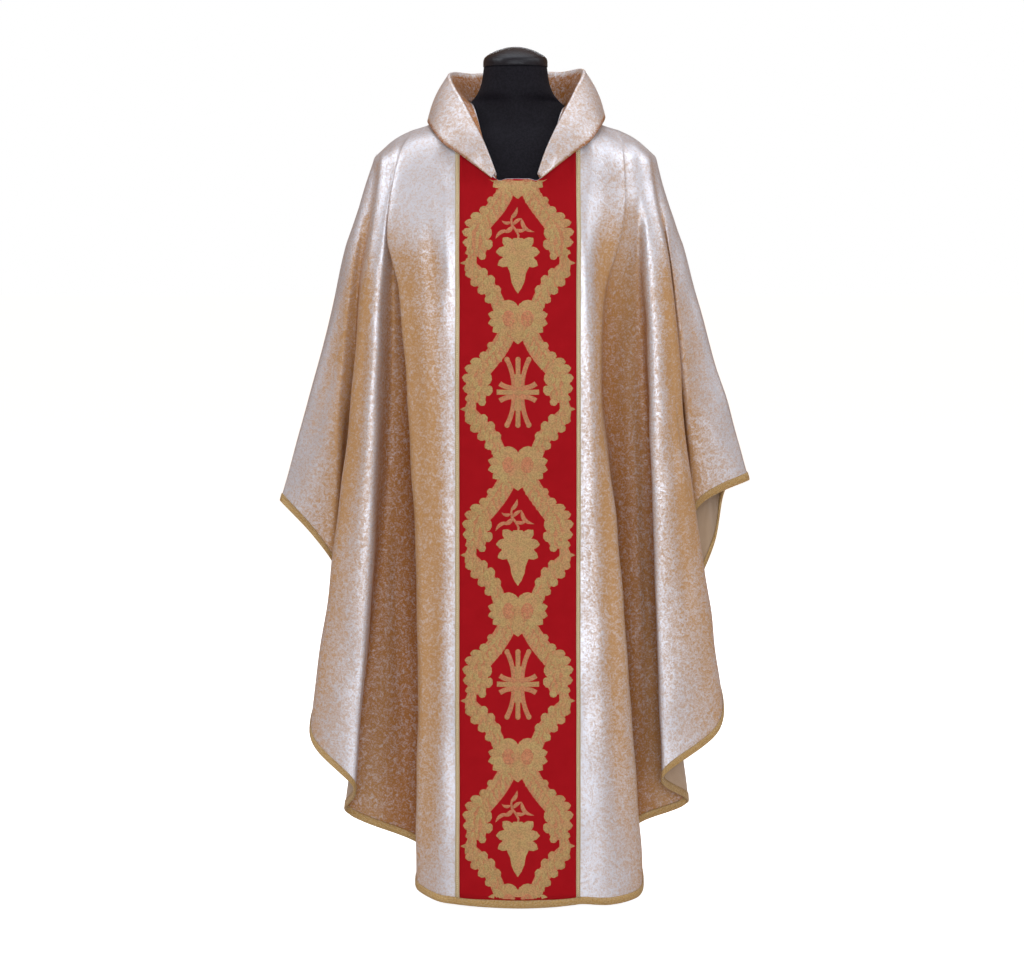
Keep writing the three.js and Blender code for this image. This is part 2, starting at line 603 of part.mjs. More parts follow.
const collarSections = neckline.map(({ column, at }) => {
  const fromCorner = Math.min(at, 2 * collarStations[collarStations.length - 1] - at);
  const base = lifted(column, 0, splineValue(collarStations, collarLifts, fromCorner));
  const fold = collarPoint('fold', at);
  const edge = collarPoint('edge', at);
  const rise = fold.clone().sub(base.clone().add(edge).multiplyScalar(0.5)).normalize();
  const across = edge.clone().sub(base);
  across.addScaledVector(rise, -across.dot(rise)).normalize();
  const centre = fold.clone().addScaledVector(rise, -COLLAR_FOLD_RADIUS);
  const path = [base];
  for (let k = 0; k <= COLLAR_FOLD_STEPS; k += 1) {
    const turn = Math.PI * k / COLLAR_FOLD_STEPS;
    path.push(centre.clone()
      .addScaledVector(across, -Math.cos(turn) * COLLAR_FOLD_RADIUS)
      .addScaledVector(rise, Math.sin(turn) * COLLAR_FOLD_RADIUS));
  }
  path.splice(1, 0, base.clone().lerp(path[1], 0.5));
  const foldEnd = path[path.length - 1];
  const along = new THREE.Vector3().crossVectors(rise, across);
  const out = new THREE.Vector3().crossVectors(edge.clone().sub(foldEnd), along).normalize();
  if (out.dot(across) < 0) out.negate();
  for (let k = 1; k < COLLAR_FALL_STEPS; k += 1) {
    const share = k / COLLAR_FALL_STEPS;
    const bulge = COLLAR_FALL_BULGE * Math.sin(Math.PI * share) * clamp01(edge.distanceTo(foldEnd) / 60);
    path.push(foldEnd.clone().lerp(edge, share).addScaledVector(out, bulge));
  }
  path.push(edge);
  return path;
});

// The collar's wall: its convex side is the path, its other side lies inside the fold
function collarWall() {
  const count = collarSections.length;
  const sections = collarSections.map((path, j) => {
    const before = collarSections[Math.max(j - 1, 0)];
    const after = collarSections[Math.min(j + 1, count - 1)];
    const inner = path.map((point, i) => {
      const along = after[i].clone().sub(before[i]);
      const down = path[Math.min(i + 1, path.length - 1)].clone().sub(path[Math.max(i - 1, 0)]);
      const normal = new THREE.Vector3().crossVectors(along, down).normalize();
      return point.clone().addScaledVector(normal, -WALL);
    });
    return [...path, ...inner.reverse()];
  });
  addWall('collar', sections.reverse(), clothMaterial());
}
collarWall();

// Dress form: elliptical rings, the shoulders a little under the cloth's own shoulder line
function shoulderRings() {
  return SHOULDER_LINE.map((point, i) => {
    const before = SHOULDER_LINE[Math.max(i - 1, 0)];
    const after = SHOULDER_LINE[Math.min(i + 1, SHOULDER_LINE.length - 1)];
    const run = after.x - before.x;
    const drop = before.z - after.z;
    const length = Math.hypot(run, drop);
    const under = WALL + REST_GAP;
    return {
      z: point.z - under * run / length,
      halfWidth: point.x - under * drop / length,
      ...FORM_SHOULDERS[i],
    };
  });
}

function ringsBody(name, rings, finish) {
  const positions = [];
  const triangles = [];
  rings.forEach(({ z, halfWidth, halfDepth, power = FORM_BODY_POWER, slope = 0 }) => {
    for (let k = 0; k < FORM_SIDES; k += 1) {
      const turn = 2 * Math.PI * k / FORM_SIDES;
      const share = (value) => Math.sign(value) * Math.abs(value) ** (2 / power);
      const across = halfDepth * share(Math.sin(turn));
      positions.push(new THREE.Vector3(halfWidth * share(Math.cos(turn)), across, z + slope * across));
    }
  });
  const top = positions.length;
  positions.push(new THREE.Vector3(0, 0, rings[0].z));
  positions.push(new THREE.Vector3(0, 0, rings[rings.length - 1].z));
  for (let k = 0; k < FORM_SIDES; k += 1) {
    const next = (k + 1) % FORM_SIDES;
    triangles.push(top, k, next);
    for (let s = 0; s < rings.length - 1; s += 1) {
      const up = s * FORM_SIDES;
      const low = up + FORM_SIDES;
      triangles.push(up + k, low + k, low + next, up + k, low + next, up + next);
    }
    const low = (rings.length - 1) * FORM_SIDES;
    triangles.push(top + 1, low + next, low + k);
  }
  meshFromTriangles(name, positions, triangles, finish);
}
ringsBody('form_torso', [...FORM_NECK, ...shoulderRings(), ...FORM_BODY], blackClothMaterial());

// Neck cap: a low dome whose front edge is a little lower than its back
const capSlope = NECK_CAP.tilt / (2 * NECK_CAP.radius);
const capRim = NECK_CAP.topZ - NECK_CAP.crown - NECK_CAP.tilt / 2;
const capRings = [0.25, 0.6, 0.86, 1].map((share) => ({
  z: capRim + NECK_CAP.crown * Math.sqrt(1 - share * share),
  halfWidth: NECK_CAP.radius * share,
  halfDepth: NECK_CAP.radius * share,
  slope: capSlope,
}));
capRings.push({ z: NECK_CAP.bottomZ, halfWidth: NECK_CAP.radius, halfDepth: NECK_CAP.radius });
ringsBody('form_neck_cap', capRings, blackClothMaterial());

const formBottom = FORM_BODY[FORM_BODY.length - 1].z;
const roundRing = (z, radius) => ({ z, halfWidth: radius, halfDepth: radius });
const poleRings = [
  roundRing(formBottom - SEAM_GAP, POLE_RADIUS),
  roundRing(BASE.thickness + SEAM_GAP, POLE_RADIUS),
];
ringsBody('form_pole', poleRings, blackMetalMaterial());
const cornerCut = BASE.edgeRadius * (1 - Math.SQRT1_2);
const baseRings = [
  roundRing(BASE.thickness, BASE.radius - BASE.edgeRadius),
  roundRing(BASE.thickness - cornerCut, BASE.radius - cornerCut),
  roundRing(BASE.thickness - BASE.edgeRadius, BASE.radius),
  roundRing(0, BASE.radius),
];
ringsBody('form_base', baseRings, blackMetalMaterial());

export default part;
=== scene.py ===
# %% [markdown]
# # A chasuble on a dress form
# A chasuble is the wide outer vestment of a liturgy: a front and a back of brocade, joined over
# the shoulders and down the sleeves, with a turned-down collar and a patterned band, the
# orphrey, down the front. Here it hangs on a black dress form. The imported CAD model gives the
# frame and the true form of the folds. This lesson lays fine cloth on that form.

# %% Load the frame
import math
from collections import namedtuple

import bmesh
import bpy
import numpy as np
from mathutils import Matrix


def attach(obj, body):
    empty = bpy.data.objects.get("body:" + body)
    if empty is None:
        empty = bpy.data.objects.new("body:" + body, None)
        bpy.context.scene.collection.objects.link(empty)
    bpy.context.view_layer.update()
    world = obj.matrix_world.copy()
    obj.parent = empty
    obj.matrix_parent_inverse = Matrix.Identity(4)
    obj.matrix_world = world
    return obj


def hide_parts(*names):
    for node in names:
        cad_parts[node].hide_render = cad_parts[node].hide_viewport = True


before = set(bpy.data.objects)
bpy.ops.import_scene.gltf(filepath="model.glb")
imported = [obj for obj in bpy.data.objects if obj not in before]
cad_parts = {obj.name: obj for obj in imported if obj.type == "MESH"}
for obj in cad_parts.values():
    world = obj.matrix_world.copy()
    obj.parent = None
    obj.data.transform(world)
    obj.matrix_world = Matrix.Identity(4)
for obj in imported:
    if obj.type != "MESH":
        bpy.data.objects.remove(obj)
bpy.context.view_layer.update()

MM = 0.001

# %% [markdown]
# ## The view
# The photograph looks at the garment from the front and a little above it, from far away. A
# long lens keeps the sides upright. The camera comes first, so that each later piece can be
# judged in the same view.

# %% Camera
VIEW_TARGET = (-0.0058, 0.0, 0.7063)
VIEW_DISTANCE = 4.5
VIEW_RISE = math.radians(5)
VIEW_LENS = 92.14


def put(name, data):
    """A new object with this data, in the scene."""
    placed = bpy.data.objects.new(name, data)
    bpy.context.scene.collection.objects.link(placed)
    return placed


camera = put("camera", bpy.data.cameras.new("camera"))
camera.data.lens = VIEW_LENS
camera.data.sensor_width = 36
camera.location = (
    VIEW_TARGET[0],
    -VIEW_DISTANCE * math.cos(VIEW_RISE),
    VIEW_TARGET[2] + VIEW_DISTANCE * math.sin(VIEW_RISE),
)
camera.rotation_euler = (math.pi / 2 - VIEW_RISE, 0, 0)
bpy.context.scene.camera = camera
bpy.context.scene.view_settings.view_transform = "Standard"
print("camera at", [round(value, 3) for value in camera.location])

# %% [markdown]
# ## The fold lines
# Cloth that hangs from a shoulder falls in long folds. Each fold line below is one crest or
# valley that a maker could follow with a finger: it starts on the shoulder seam, bends over
# the brow of the shoulder, and hangs to the hem. The numbers are millimetres, and each row
# gives the line's start on the seam, its brow, two places on the way down and its hem. These
# are the lines that the CAD solids are made from, so the fine cloth lies on them.

# %% Fold tables
Fold = namedtuple("Fold", "line shoulder brow high mid hem")
FRONT_LEFT = [
    Fold("panel", 128, (140, -92, 1192), (146, -123), (132, -157), (132, -186, 19)),
    Fold("edge", 160, (194, -80, 1199), (182, -108), (159, -152), (161, -168, 30)),
    Fold("valley near", 176, (198, -66, 1200), (186, -62), (170, -56), (170, -64, 90)),
    Fold("valley far", 190, (206, -56, 1203), (206, -48), (222, -38), (283, -42, 132)),
    Fold("pleat inner", 204, (214, -56, 1206), (225, -76), (240, -106), (274, -112, 196)),
    Fold("pleat outer", 216, (228, -46, 1209), (246, -72), (284, -98), (343, -93, 266)),
    Fold("sleeve valley", 226, (235, -28, 1216), (258, -28), (276, -10), (292, 2, 440)),
    Fold("sleeve inner", 232, (239, -16, 1230), (266, -28), (300, -32), (315, -20, 570)),
]
FRONT_RIGHT = [
    Fold("panel", 128, (130, -92, 1192), (126, -123), (138, -157), (158, -186, 12)),
    Fold("edge", 160, (164, -80, 1192), (140, -110), (165, -150), (201, -166, 18)),
    Fold("valley near", 176, (184, -68, 1196), (160, -66), (178, -54), (206, -60, 118)),
    Fold("valley far", 190, (200, -58, 1200), (206, -46), (240, -36), (293, -40, 152)),
    Fold("pleat inner", 204, (216, -56, 1204), (222, -76), (230, -105), (250, -112, 213)),
    Fold("pleat outer", 216, (230, -46, 1209), (250, -72), (284, -96), (344, -92, 287)),
    Fold("sleeve valley", 226, (235, -28, 1216), (256, -26), (278, -8), (300, 4, 505)),
    Fold("sleeve inner", 232, (239, -16, 1230), (256, -28), (290, -32), (318, -20, 668)),
]
BACK_LEFT = [
    Fold("channel", 128, (138, 98, 1206), (134, 118), (118, 134), (116, 158, 52)),
    Fold("edge", 158, (178, 88, 1200), (178, 116), (170, 152), (182, 178, 66)),
    Fold("valley", 184, (200, 64, 1200), (200, 54), (204, 44), (222, 56, 140)),
    Fold("pleat inner", 202, (213, 58, 1203), (222, 80), (236, 112), (256, 132, 200)),
    Fold("pleat outer", 216, (228, 44, 1208), (246, 68), (280, 98), (326, 106, 290)),
    Fold("sleeve valley", 226, (235, 26, 1216), (254, 22), (268, 18), (278, 18, 426)),
    Fold("sleeve inner", 232, (239, 15, 1230), (264, 28), (298, 44), (308, 44, 562)),
]
BACK_RIGHT = [
    Fold("channel", 128, (136, 98, 1206), (130, 120), (124, 138), (130, 160, 50)),
    Fold("edge", 158, (174, 88, 1200), (170, 118), (174, 150), (194, 176, 62)),
    Fold("valley", 184, (198, 64, 1200), (198, 56), (208, 42), (232, 52, 136)),
    Fold("pleat inner", 202, (213, 58, 1203), (220, 80), (240, 110), (268, 128, 196)),
    Fold("pleat outer", 216, (228, 44, 1208), (246, 70), (282, 98), (330, 104, 300)),
    Fold("sleeve valley", 226, (235, 26, 1216), (252, 22), (272, 18), (296, 22, 474)),
    Fold("sleeve inner", 231, (238, 16, 1228), (262, 28), (300, 44), (348, 62, 596)),
    Fold("sleeve middle", 234, (241, 8, 1238), (266, 15), (314, 22), (374, 32, 702)),
]
SEAM_LEFT = Fold("seam", 236, (244, 0, 1249), (274, 0), (327, 0), (404, 0, 672))
SEAM_RIGHT = Fold("seam", 236, (244, 0, 1249), (270, 0), (326, 0), (402, 0, 709))
SHOULDER_X = [76, 90, 115, 150, 180, 206, 236]
SHOULDER_Z = [1353, 1342, 1327, 1310, 1300, 1286, 1260]

Middle = namedtuple("Middle", "brow_y brow_z high_y mid_y hem_y hem_z edge_back edge_up")
FRONT_MIDDLE = Middle(-108, 1188, -136, -166, -203, 10, 9, 5)
BACK_MIDDLE = Middle(112, 1226, 134, 160, 204, 32, 12, 6)

GARMENT_AXIS = 4
ORPHREY_HALF = 97
BRAID_WIDTH = 7
NECK_CORNER = (36.5, -97, 1218)
NECK_POINT = 84
NECK_BACK = 82
DEPTH_POWER = 0.75
RISE_POWER = 1.7
WALL = 2.0
SEAM_GAP = 0.3
STRIP_LIFT = 0.45
ORPHREY_THICKNESS = 1.2
BRAID_THICKNESS = 1.6
BINDING_DEPTH = 12
BINDING_THICKNESS = 1.0
print("fold lines", len(FRONT_LEFT + FRONT_RIGHT + BACK_LEFT + BACK_RIGHT) + 2)

# %% [markdown]
# ## A smooth surface through the lines
# Draped cloth has no corners, so the surface between the lines is a spline both ways: down
# each line through its stations, and round the body from line to line. The same curve gives
# any fineness, so the CAD solid can be coarse and this cloth fine.

# %% Spline helper
def spline(knots, values, places):
    """The smooth curve through values at uneven knots, read at the given places."""
    knots = np.asarray(knots, float)
    values = np.asarray(values, float)
    spans = np.diff(knots)
    wide = spans.reshape((-1,) + (1,) * (values.ndim - 1))
    rates = np.diff(values, axis=0) / wide
    slopes = np.empty_like(values)
    slopes[0] = rates[0]
    slopes[-1] = rates[-1]
    slopes[1:-1] = (rates[:-1] * wide[1:] + rates[1:] * wide[:-1]) / (wide[:-1] + wide[1:])
    places = np.asarray(places, float)
    i = np.clip(np.searchsorted(knots, places, side="right") - 1, 0, len(spans) - 1)
    shape = (-1,) + (1,) * (values.ndim - 1)
    s = ((places - knots[i]) / spans[i]).reshape(shape)
    span = spans[i].reshape(shape)
    return (
        (2 * s**3 - 3 * s**2 + 1) * values[i]
        + (s**3 - 2 * s**2 + s) * span * slopes[i]
        + (-2 * s**3 + 3 * s**2) * values[i + 1]
        + (s**3 - s**2) * span * slopes[i + 1]
    )


def unit(vectors):
    return vectors / np.linalg.norm(vectors, axis=-1, keepdims=True)


def shoulder_height(x):
    return float(spline(SHOULDER_X, SHOULDER_Z, [abs(x)])[0])


# %% Stations of each fold line
STATIONS = [0, 0.035, 0.075, 0.21, 0.563, 1]
HIGH_SHARE = 0.15
MID_SHARE = 0.53
Line = namedtuple("Line", "stations offset")


def stations_of(start, brow, high, mid, hem, fullness):
    """Six places down a line; the second rounds the shoulder as fully as asked."""
    forward = 0.5 + (math.sqrt(0.5) - 0.5) * fullness
    roll = (
        (start[0] + brow[0]) / 2,
        start[1] + (brow[1] - start[1]) * forward,
        start[2] - (start[2] - brow[2]) * (1 - forward),
    )
    fall = brow[2] - hem[2]
    high_point = (high[0], high[1], brow[2] - fall * HIGH_SHARE)
    mid_point = (mid[0], mid[1], brow[2] - fall * MID_SHARE)
    return np.array([start, roll, brow, high_point, mid_point, hem], float)


def fold_line(fold, side):
    start = (side * fold.shoulder, 0, shoulder_height(fold.shoulder))
    brow = (side * fold.brow[0], fold.brow[1], fold.brow[2])
    hem = (side * fold.hem[0], fold.hem[1], fold.hem[2])
    high = (side * fold.high[0], fold.high[1])
    mid = (side * fold.mid[0], fold.mid[1])
    return Line(stations_of(start, brow, high, mid, hem, 1), None)


def neck_point_height(side):
    return shoulder_height(GARMENT_AXIS + side * NECK_POINT)


def front_start(offset):
    """Where a line of the front's flat middle starts: on the V neckline or the shoulder."""
    half = abs(offset)
    x = GARMENT_AXIS + offset
    corner_half, corner_y, corner_z = NECK_CORNER
    if half <= corner_half:
        return (x, corner_y, corner_z)
    if half < NECK_POINT:
        turn = (half - corner_half) / (NECK_POINT - corner_half) * math.pi / 2
        rise = neck_point_height(math.copysign(1, offset)) - corner_z
        depth = corner_y * math.cos(turn) ** DEPTH_POWER
        return (x, depth, corner_z + rise * math.sin(turn) ** RISE_POWER)
    return (x, 0, shoulder_height(x))


def back_start(offset):
    share = offset / NECK_POINT
    left, right = neck_point_height(-1), neck_point_height(1)
    depth = NECK_BACK * math.sqrt(max(0, 1 - share * share))
    return (GARMENT_AXIS + offset, depth, left + (right - left) * (share + 1) / 2)


def middle_line(offset, start, middle, half_width, fullness):
    share = (offset / half_width) ** 2
    back = -math.copysign(1, middle.hem_y) * middle.edge_back * share
    x = GARMENT_AXIS + offset
    brow = (x, middle.brow_y + back, middle.brow_z)
    hem = (x, middle.hem_y + back, middle.hem_z + middle.edge_up * share)
    high, mid = (x, middle.high_y + back), (x, middle.mid_y + back)
    return Line(stations_of(start, brow, high, mid, hem, fullness), offset)


BRAID_EDGE = ORPHREY_HALF + BRAID_WIDTH
V_LINES = 6
BACK_NECK_LINES = 5


def front_middle(offset):
    corner_half = NECK_CORNER[0]
    from_corner = np.clip((abs(offset) - corner_half) / (ORPHREY_HALF - corner_half), 0, 1)
    fullness = 0.3 + 0.55 * from_corner
    return middle_line(offset, front_start(offset), FRONT_MIDDLE, BRAID_EDGE, fullness)


def back_middle(offset):
    return middle_line(offset, back_start(offset), BACK_MIDDLE, NECK_POINT, 0.85)


corner = NECK_CORNER[0]
v_offsets = [corner + (NECK_POINT - corner) * i / V_LINES for i in range(1, V_LINES + 1)]
front_offsets = [corner / 2, corner, *v_offsets, ORPHREY_HALF, BRAID_EDGE]
neck_turns = [i / BACK_NECK_LINES * math.pi / 2 for i in range(1, BACK_NECK_LINES + 1)]
back_offsets = [NECK_POINT * math.sin(turn) for turn in neck_turns]

front_lines = [
    fold_line(SEAM_LEFT, -1),
    *[fold_line(fold, -1) for fold in reversed(FRONT_LEFT)],
    *[front_middle(-offset) for offset in reversed(front_offsets)],
    front_middle(0),
    *[front_middle(offset) for offset in front_offsets],
    *[fold_line(fold, 1) for fold in FRONT_RIGHT],
]
back_lines = [
    fold_line(SEAM_RIGHT, 1),
    *[fold_line(fold, 1) for fold in reversed(BACK_RIGHT)],
    *[back_middle(offset) for offset in reversed(back_offsets)],
    back_middle(0),
    *[back_middle(-offset) for offset in back_offsets],
    *[fold_line(fold, -1) for fold in BACK_LEFT],
]
loop = front_lines + back_lines
print("lines round the body", len(loop))

# %% [markdown]
# Now the fine grid. Columns run down the cloth and rows run round the body. Rows are closer
# together over the shoulder, where the cloth bends most. The last rows lie under the tape
# that binds the hem.

# %% Fine grid of the whole garment
COLUMN_STEP = 5.0
ROLL_ROWS = 16
HANGING_ROWS = 132
ROLL_END = 0.08
HEM_ROWS = 3


def fine_columns():
    """Stations and offsets of closely spaced columns all round the loop."""
    count = len(loop)
    stations = np.array([line.stations for line in loop])
    mids = stations[:, 4]
    gaps = np.linalg.norm(np.roll(mids, -1, axis=0) - mids, axis=1)
    wrapped = [i % count for i in range(-2, count + 3)]
    knots = np.concatenate([[-gaps[-2] - gaps[-1], -gaps[-1]], [0], np.cumsum(gaps)])
    knots = np.concatenate([knots, [knots[-1] + gaps[0], knots[-1] + gaps[0] + gaps[1]]])
    line_steps = [max(2, round(gap / COLUMN_STEP)) for gap in gaps]
    places, columns = [], []
    for i, steps in enumerate(line_steps):
        for k in range(steps):
            places.append(knots[i + 2] + gaps[i] * k / steps)
            columns.append((i, k / steps))
    fine = spline(knots, stations[wrapped], places)
    offsets = []
    for column, (i, share) in enumerate(columns):
        here, there = loop[i], loop[(i + 1) % count]
        start, end = here.stations[0], there.stations[0]
        if abs(start[1]) < 0.1 and abs(end[1]) < 0.1:
            x = start[0] + (end[0] - start[0]) * share
            fine[column, 0] = (x, 0, shoulder_height(x))
        known = here.offset is not None and there.offset is not None
        exact = here.offset is not None and share == 0
        step = (there.offset - here.offset) * share if known else 0
        offsets.append(here.offset + step if known or exact else math.nan)
    return fine, np.array(offsets), columns.index((len(front_lines), 0.0)), line_steps


row_shares = np.concatenate([
    np.linspace(0, ROLL_END, ROLL_ROWS, endpoint=False),
    np.linspace(ROLL_END, 1, HANGING_ROWS),
])


def lay_cloth(fine):
    """Points of the cloth, rows by columns: down to the binding's top, then to the hem."""
    points = np.empty((len(row_shares) + HEM_ROWS, len(fine), 3))
    for column, stations in enumerate(fine):
        length = np.linalg.norm(np.diff(stations, axis=0), axis=1).sum()
        binding_top = 1 - BINDING_DEPTH / length
        body = spline(STATIONS, stations, row_shares * binding_top)
        points[: len(body), column] = body
        for k in range(1, HEM_ROWS + 1):
            share = k / HEM_ROWS
            points[len(body) + k - 1, column] = body[-1] * (1 - share) + stations[-1] * share
    return points


def cloth_normals(points):
    """Unit normals that point out of the garment."""
    across = np.roll(points, -1, axis=1) - np.roll(points, 1, axis=1)
    down = np.gradient(points, axis=0)
    return unit(np.cross(down, across))


stations, offsets, right_seam, line_steps = fine_columns()
cloth = lay_cloth(stations)
normals = cloth_normals(cloth)
binding_row = len(row_shares) - 1
front_columns = np.arange(0, right_seam + 1)
back_columns = np.arange(right_seam, cloth.shape[1] + 1) % cloth.shape[1]
print("cloth grid", cloth.shape, "right seam at column", right_seam)

# %% [markdown]
# ## Creases, one by one
# The large folds are in the solids. What makes cloth look worn and hung is smaller: a drag
# line from the collar, a dimple under the shoulder, a valley that wanders. Each crease is a
# short path over the cloth, seen from the front or back, with its height and its half width.
# A negative height is a trough. The cloth moves along its own normal and the crease fades at
# both ends, so nothing is cut or doubled. The back has creases of the same sort, because a
# garment that hangs by itself drags there as well. Under the shoulder the folds start in tight
# pinches, and these are evened out first.

# %% Crease table
Crease = namedtuple("Crease", "side height width path")
CREASES = [
    Crease("front", 8, 10, [(-188, 1226), (-152, 1196), (-126, 1162), (-113, 1100), (-110, 1030)]),
    Crease("front", -4, 12, [(-170, 1180), (-146, 1130), (-136, 1060), (-134, 960)]),
    Crease("front", -6, 9, [(-224, 1270), (-215, 1240), (-206, 1206)]),
    Crease("front", 2, 12, [(-205, 1262), (-197, 1225), (-190, 1180)]),
    Crease("front", -5, 15, [(-136, 1120), (-134, 860), (-133, 600), (-136, 330), (-140, 60)]),
    Crease("front", -4, 14, [(-140, 600), (-146, 420), (-148, 240), (-146, 80)]),
    Crease("front", -9, 20, [(-186, 1120), (-170, 900), (-160, 600), (-160, 300), (-160, 40)]),
    Crease("front", 4, 9, [(-206, 640), (-201, 460), (-196, 300), (-190, 170)]),
    Crease("front", -11, 17, [(-250, 1090), (-265, 900), (-285, 720), (-304, 560)]),
    Crease("front", -11, 17, [(252, 1080), (270, 900), (292, 720), (308, 560)]),
    Crease("front", 3, 11, [(-190, 1100), (-192, 980), (-196, 860)]),
    Crease("front", -3, 8, [(-252, 1010), (-262, 820), (-276, 640), (-292, 470)]),
    Crease("front", 4, 10, [(-262, 900), (-280, 700), (-305, 480)]),
    Crease("front", -4, 12, [(-290, 1020), (-318, 880), (-350, 760)]),
    Crease("front", 3, 12, [(-300, 900), (-330, 780), (-362, 690)]),
    Crease("front", 3, 16, [(210, 1214), (198, 1176), (192, 1120), (192, 1050)]),
    Crease("front", -6, 15, [(160, 1190), (150, 1150), (146, 1090), (142, 1000)]),
    Crease("front", 4, 12, [(132, 1180), (118, 1110), (114, 1030), (114, 920)]),
    Crease("front", -5, 15, [(150, 1000), (150, 800), (154, 600), (164, 380), (176, 80)]),
    Crease("front", 4, 9, [(196, 900), (204, 700), (212, 480), (216, 300)]),
    Crease("front", -3, 9, [(256, 960), (268, 760), (284, 560), (300, 400)]),
    Crease("front", 4, 10, [(268, 860), (286, 660), (312, 470)]),
    Crease("front", -4, 12, [(292, 1010), (318, 880), (348, 780)]),
    Crease("front", 3, 12, [(304, 930), (332, 820), (366, 730)]),
    Crease("front", 2.5, 26, [(-60, 900), (-40, 640), (-30, 380)]),
    Crease("front", -2.5, 24, [(52, 760), (60, 480), (56, 240)]),
    Crease("back", -7, 20, [(-56, 1180), (-62, 900), (-58, 600), (-66, 300), (-70, 60)]),
    Crease("back", 6, 18, [(-24, 1120), (-20, 820), (-26, 500), (-18, 200)]),
    Crease("back", -6, 20, [(48, 1160), (56, 860), (50, 560), (60, 260), (64, 60)]),
    Crease("back", 5, 14, [(-176, 1226), (-140, 1190), (-112, 1130), (-98, 1040)]),
    Crease("back", 5, 14, [(178, 1222), (146, 1186), (118, 1120), (104, 1020)]),
    Crease("back", -5, 11, [(-216, 1262), (-206, 1226), (-196, 1190)]),
    Crease("back", -5, 11, [(214, 1262), (202, 1222), (194, 1186)]),
    Crease("back", 4, 10, [(-150, 980), (-152, 700), (-158, 420), (-166, 160)]),
    Crease("back", 4, 10, [(152, 960), (150, 660), (160, 380), (172, 140)]),
    Crease("back", -4, 11, [(-262, 940), (-280, 720), (-300, 520)]),
    Crease("back", -4, 11, [(264, 960), (282, 740), (304, 540)]),
    Crease("back", -4, 12, [(-292, 1000), (-322, 860), (-352, 750)]),
    Crease("back", -4, 12, [(296, 1000), (330, 860), (364, 760)]),
]
CREASE_SMOOTHING = 30
FACING = 0.25
UNEVEN_HEIGHT = 1.1
UNEVEN_WAVES = 26
SHORTEST_WAVE = 55
LONGEST_WAVE = 150
UNEVEN_FROM_ROW = 22
PINCH_ROUNDS = 70
PINCH_ROWS = 5
PINCH_HEIGHT = 1110
PINCH_HEIGHT_BLEND = 70
PINCH_ASIDE = 125
PINCH_ASIDE_BLEND = 25


# %% Lay the creases
def place_path(crease, points, facing):
    """The crease's path in space: its sideways and upright places, set on the cloth."""
    path = np.array(crease.path, float)
    reach = np.concatenate([[0], np.cumsum(np.linalg.norm(np.diff(path, axis=0), axis=1))])
    path = spline(reach, path, np.linspace(0, reach[-1], max(8, int(reach[-1] / 8))))
    flat = points[facing]
    placed = []
    for x, z in path:
        nearest = np.argmin((flat[:, 0] - x) ** 2 + (flat[:, 2] - z) ** 2)
        placed.append((x, flat[nearest, 1], z))
    return np.array(placed)


def crease_heights(points, normals):
    heights = np.zeros(points.shape[:2])
    for crease in CREASES:
        toward = -1 if crease.side == "front" else 1
        facing = normals[..., 1] * toward > FACING
        path = place_path(crease, points, facing)
        low = path.min(axis=0) - 3 * crease.width
        high = path.max(axis=0) + 3 * crease.width
        near = np.all((points > low) & (points < high), axis=2) & (points[..., 1] * toward > -20)
        some = points[near]
        distance = np.linalg.norm(some[:, None] - path[None], axis=2)
        along = np.argmin(distance, axis=1) / (len(path) - 1)
        fade = np.sin(np.pi * np.clip(along, 0, 1)) ** 0.7
        heights[near] += crease.height * fade * np.exp(-(distance.min(axis=1) / crease.width) ** 2)
    for _ in range(CREASE_SMOOTHING):
        heights[1:-1] = (heights[:-2] + 2 * heights[1:-1] + heights[2:]) / 4
    return heights


def unevenness(points):
    """Slow waves of many directions: the small unrest of any hanging cloth."""
    random = np.random.default_rng(7)
    total = np.zeros(points.shape[:2])
    for _ in range(UNEVEN_WAVES):
        direction = random.normal(size=3) * (1, 1, 0.45)
        direction /= np.linalg.norm(direction)
        wavelength = random.uniform(SHORTEST_WAVE, LONGEST_WAVE)
        phase = random.uniform(0, 2 * math.pi)
        total += np.sin(points @ direction * 2 * math.pi / wavelength + phase)
    return total * UNEVEN_HEIGHT / math.sqrt(UNEVEN_WAVES)


def smoothed_round(values, rounds):
    """Values evened out with their neighbours round the body."""
    for _ in range(rounds):
        values = (np.roll(values, 1, axis=1) + 2 * values + np.roll(values, -1, axis=1)) / 4
    return values


def soften_pinches(points):
    """Evens out the tight starts of the folds just below the shoulder line."""
    soft = smoothed_round(points, PINCH_ROUNDS)
    rows = np.clip(np.arange(points.shape[0]) / PINCH_ROWS, 0, 1)[:, None]
    high = np.clip((points[..., 2] - PINCH_HEIGHT) / PINCH_HEIGHT_BLEND, 0, 1)
    aside = np.clip((np.abs(points[..., 0]) - PINCH_ASIDE) / PINCH_ASIDE_BLEND, 0, 1)
    return points + (soft - points) * (rows * high * aside)[..., None]


cloth = soften_pinches(cloth)
normals = cloth_normals(cloth)
rest = np.clip(np.arange(cloth.shape[0]) / UNEVEN_FROM_ROW, 0, 1)[:, None]
creased = crease_heights(cloth, normals)
cloth = cloth + normals * (creased + unevenness(cloth) * rest)[..., None]
normals = cloth_normals(cloth)
print("creases laid", len(CREASES))
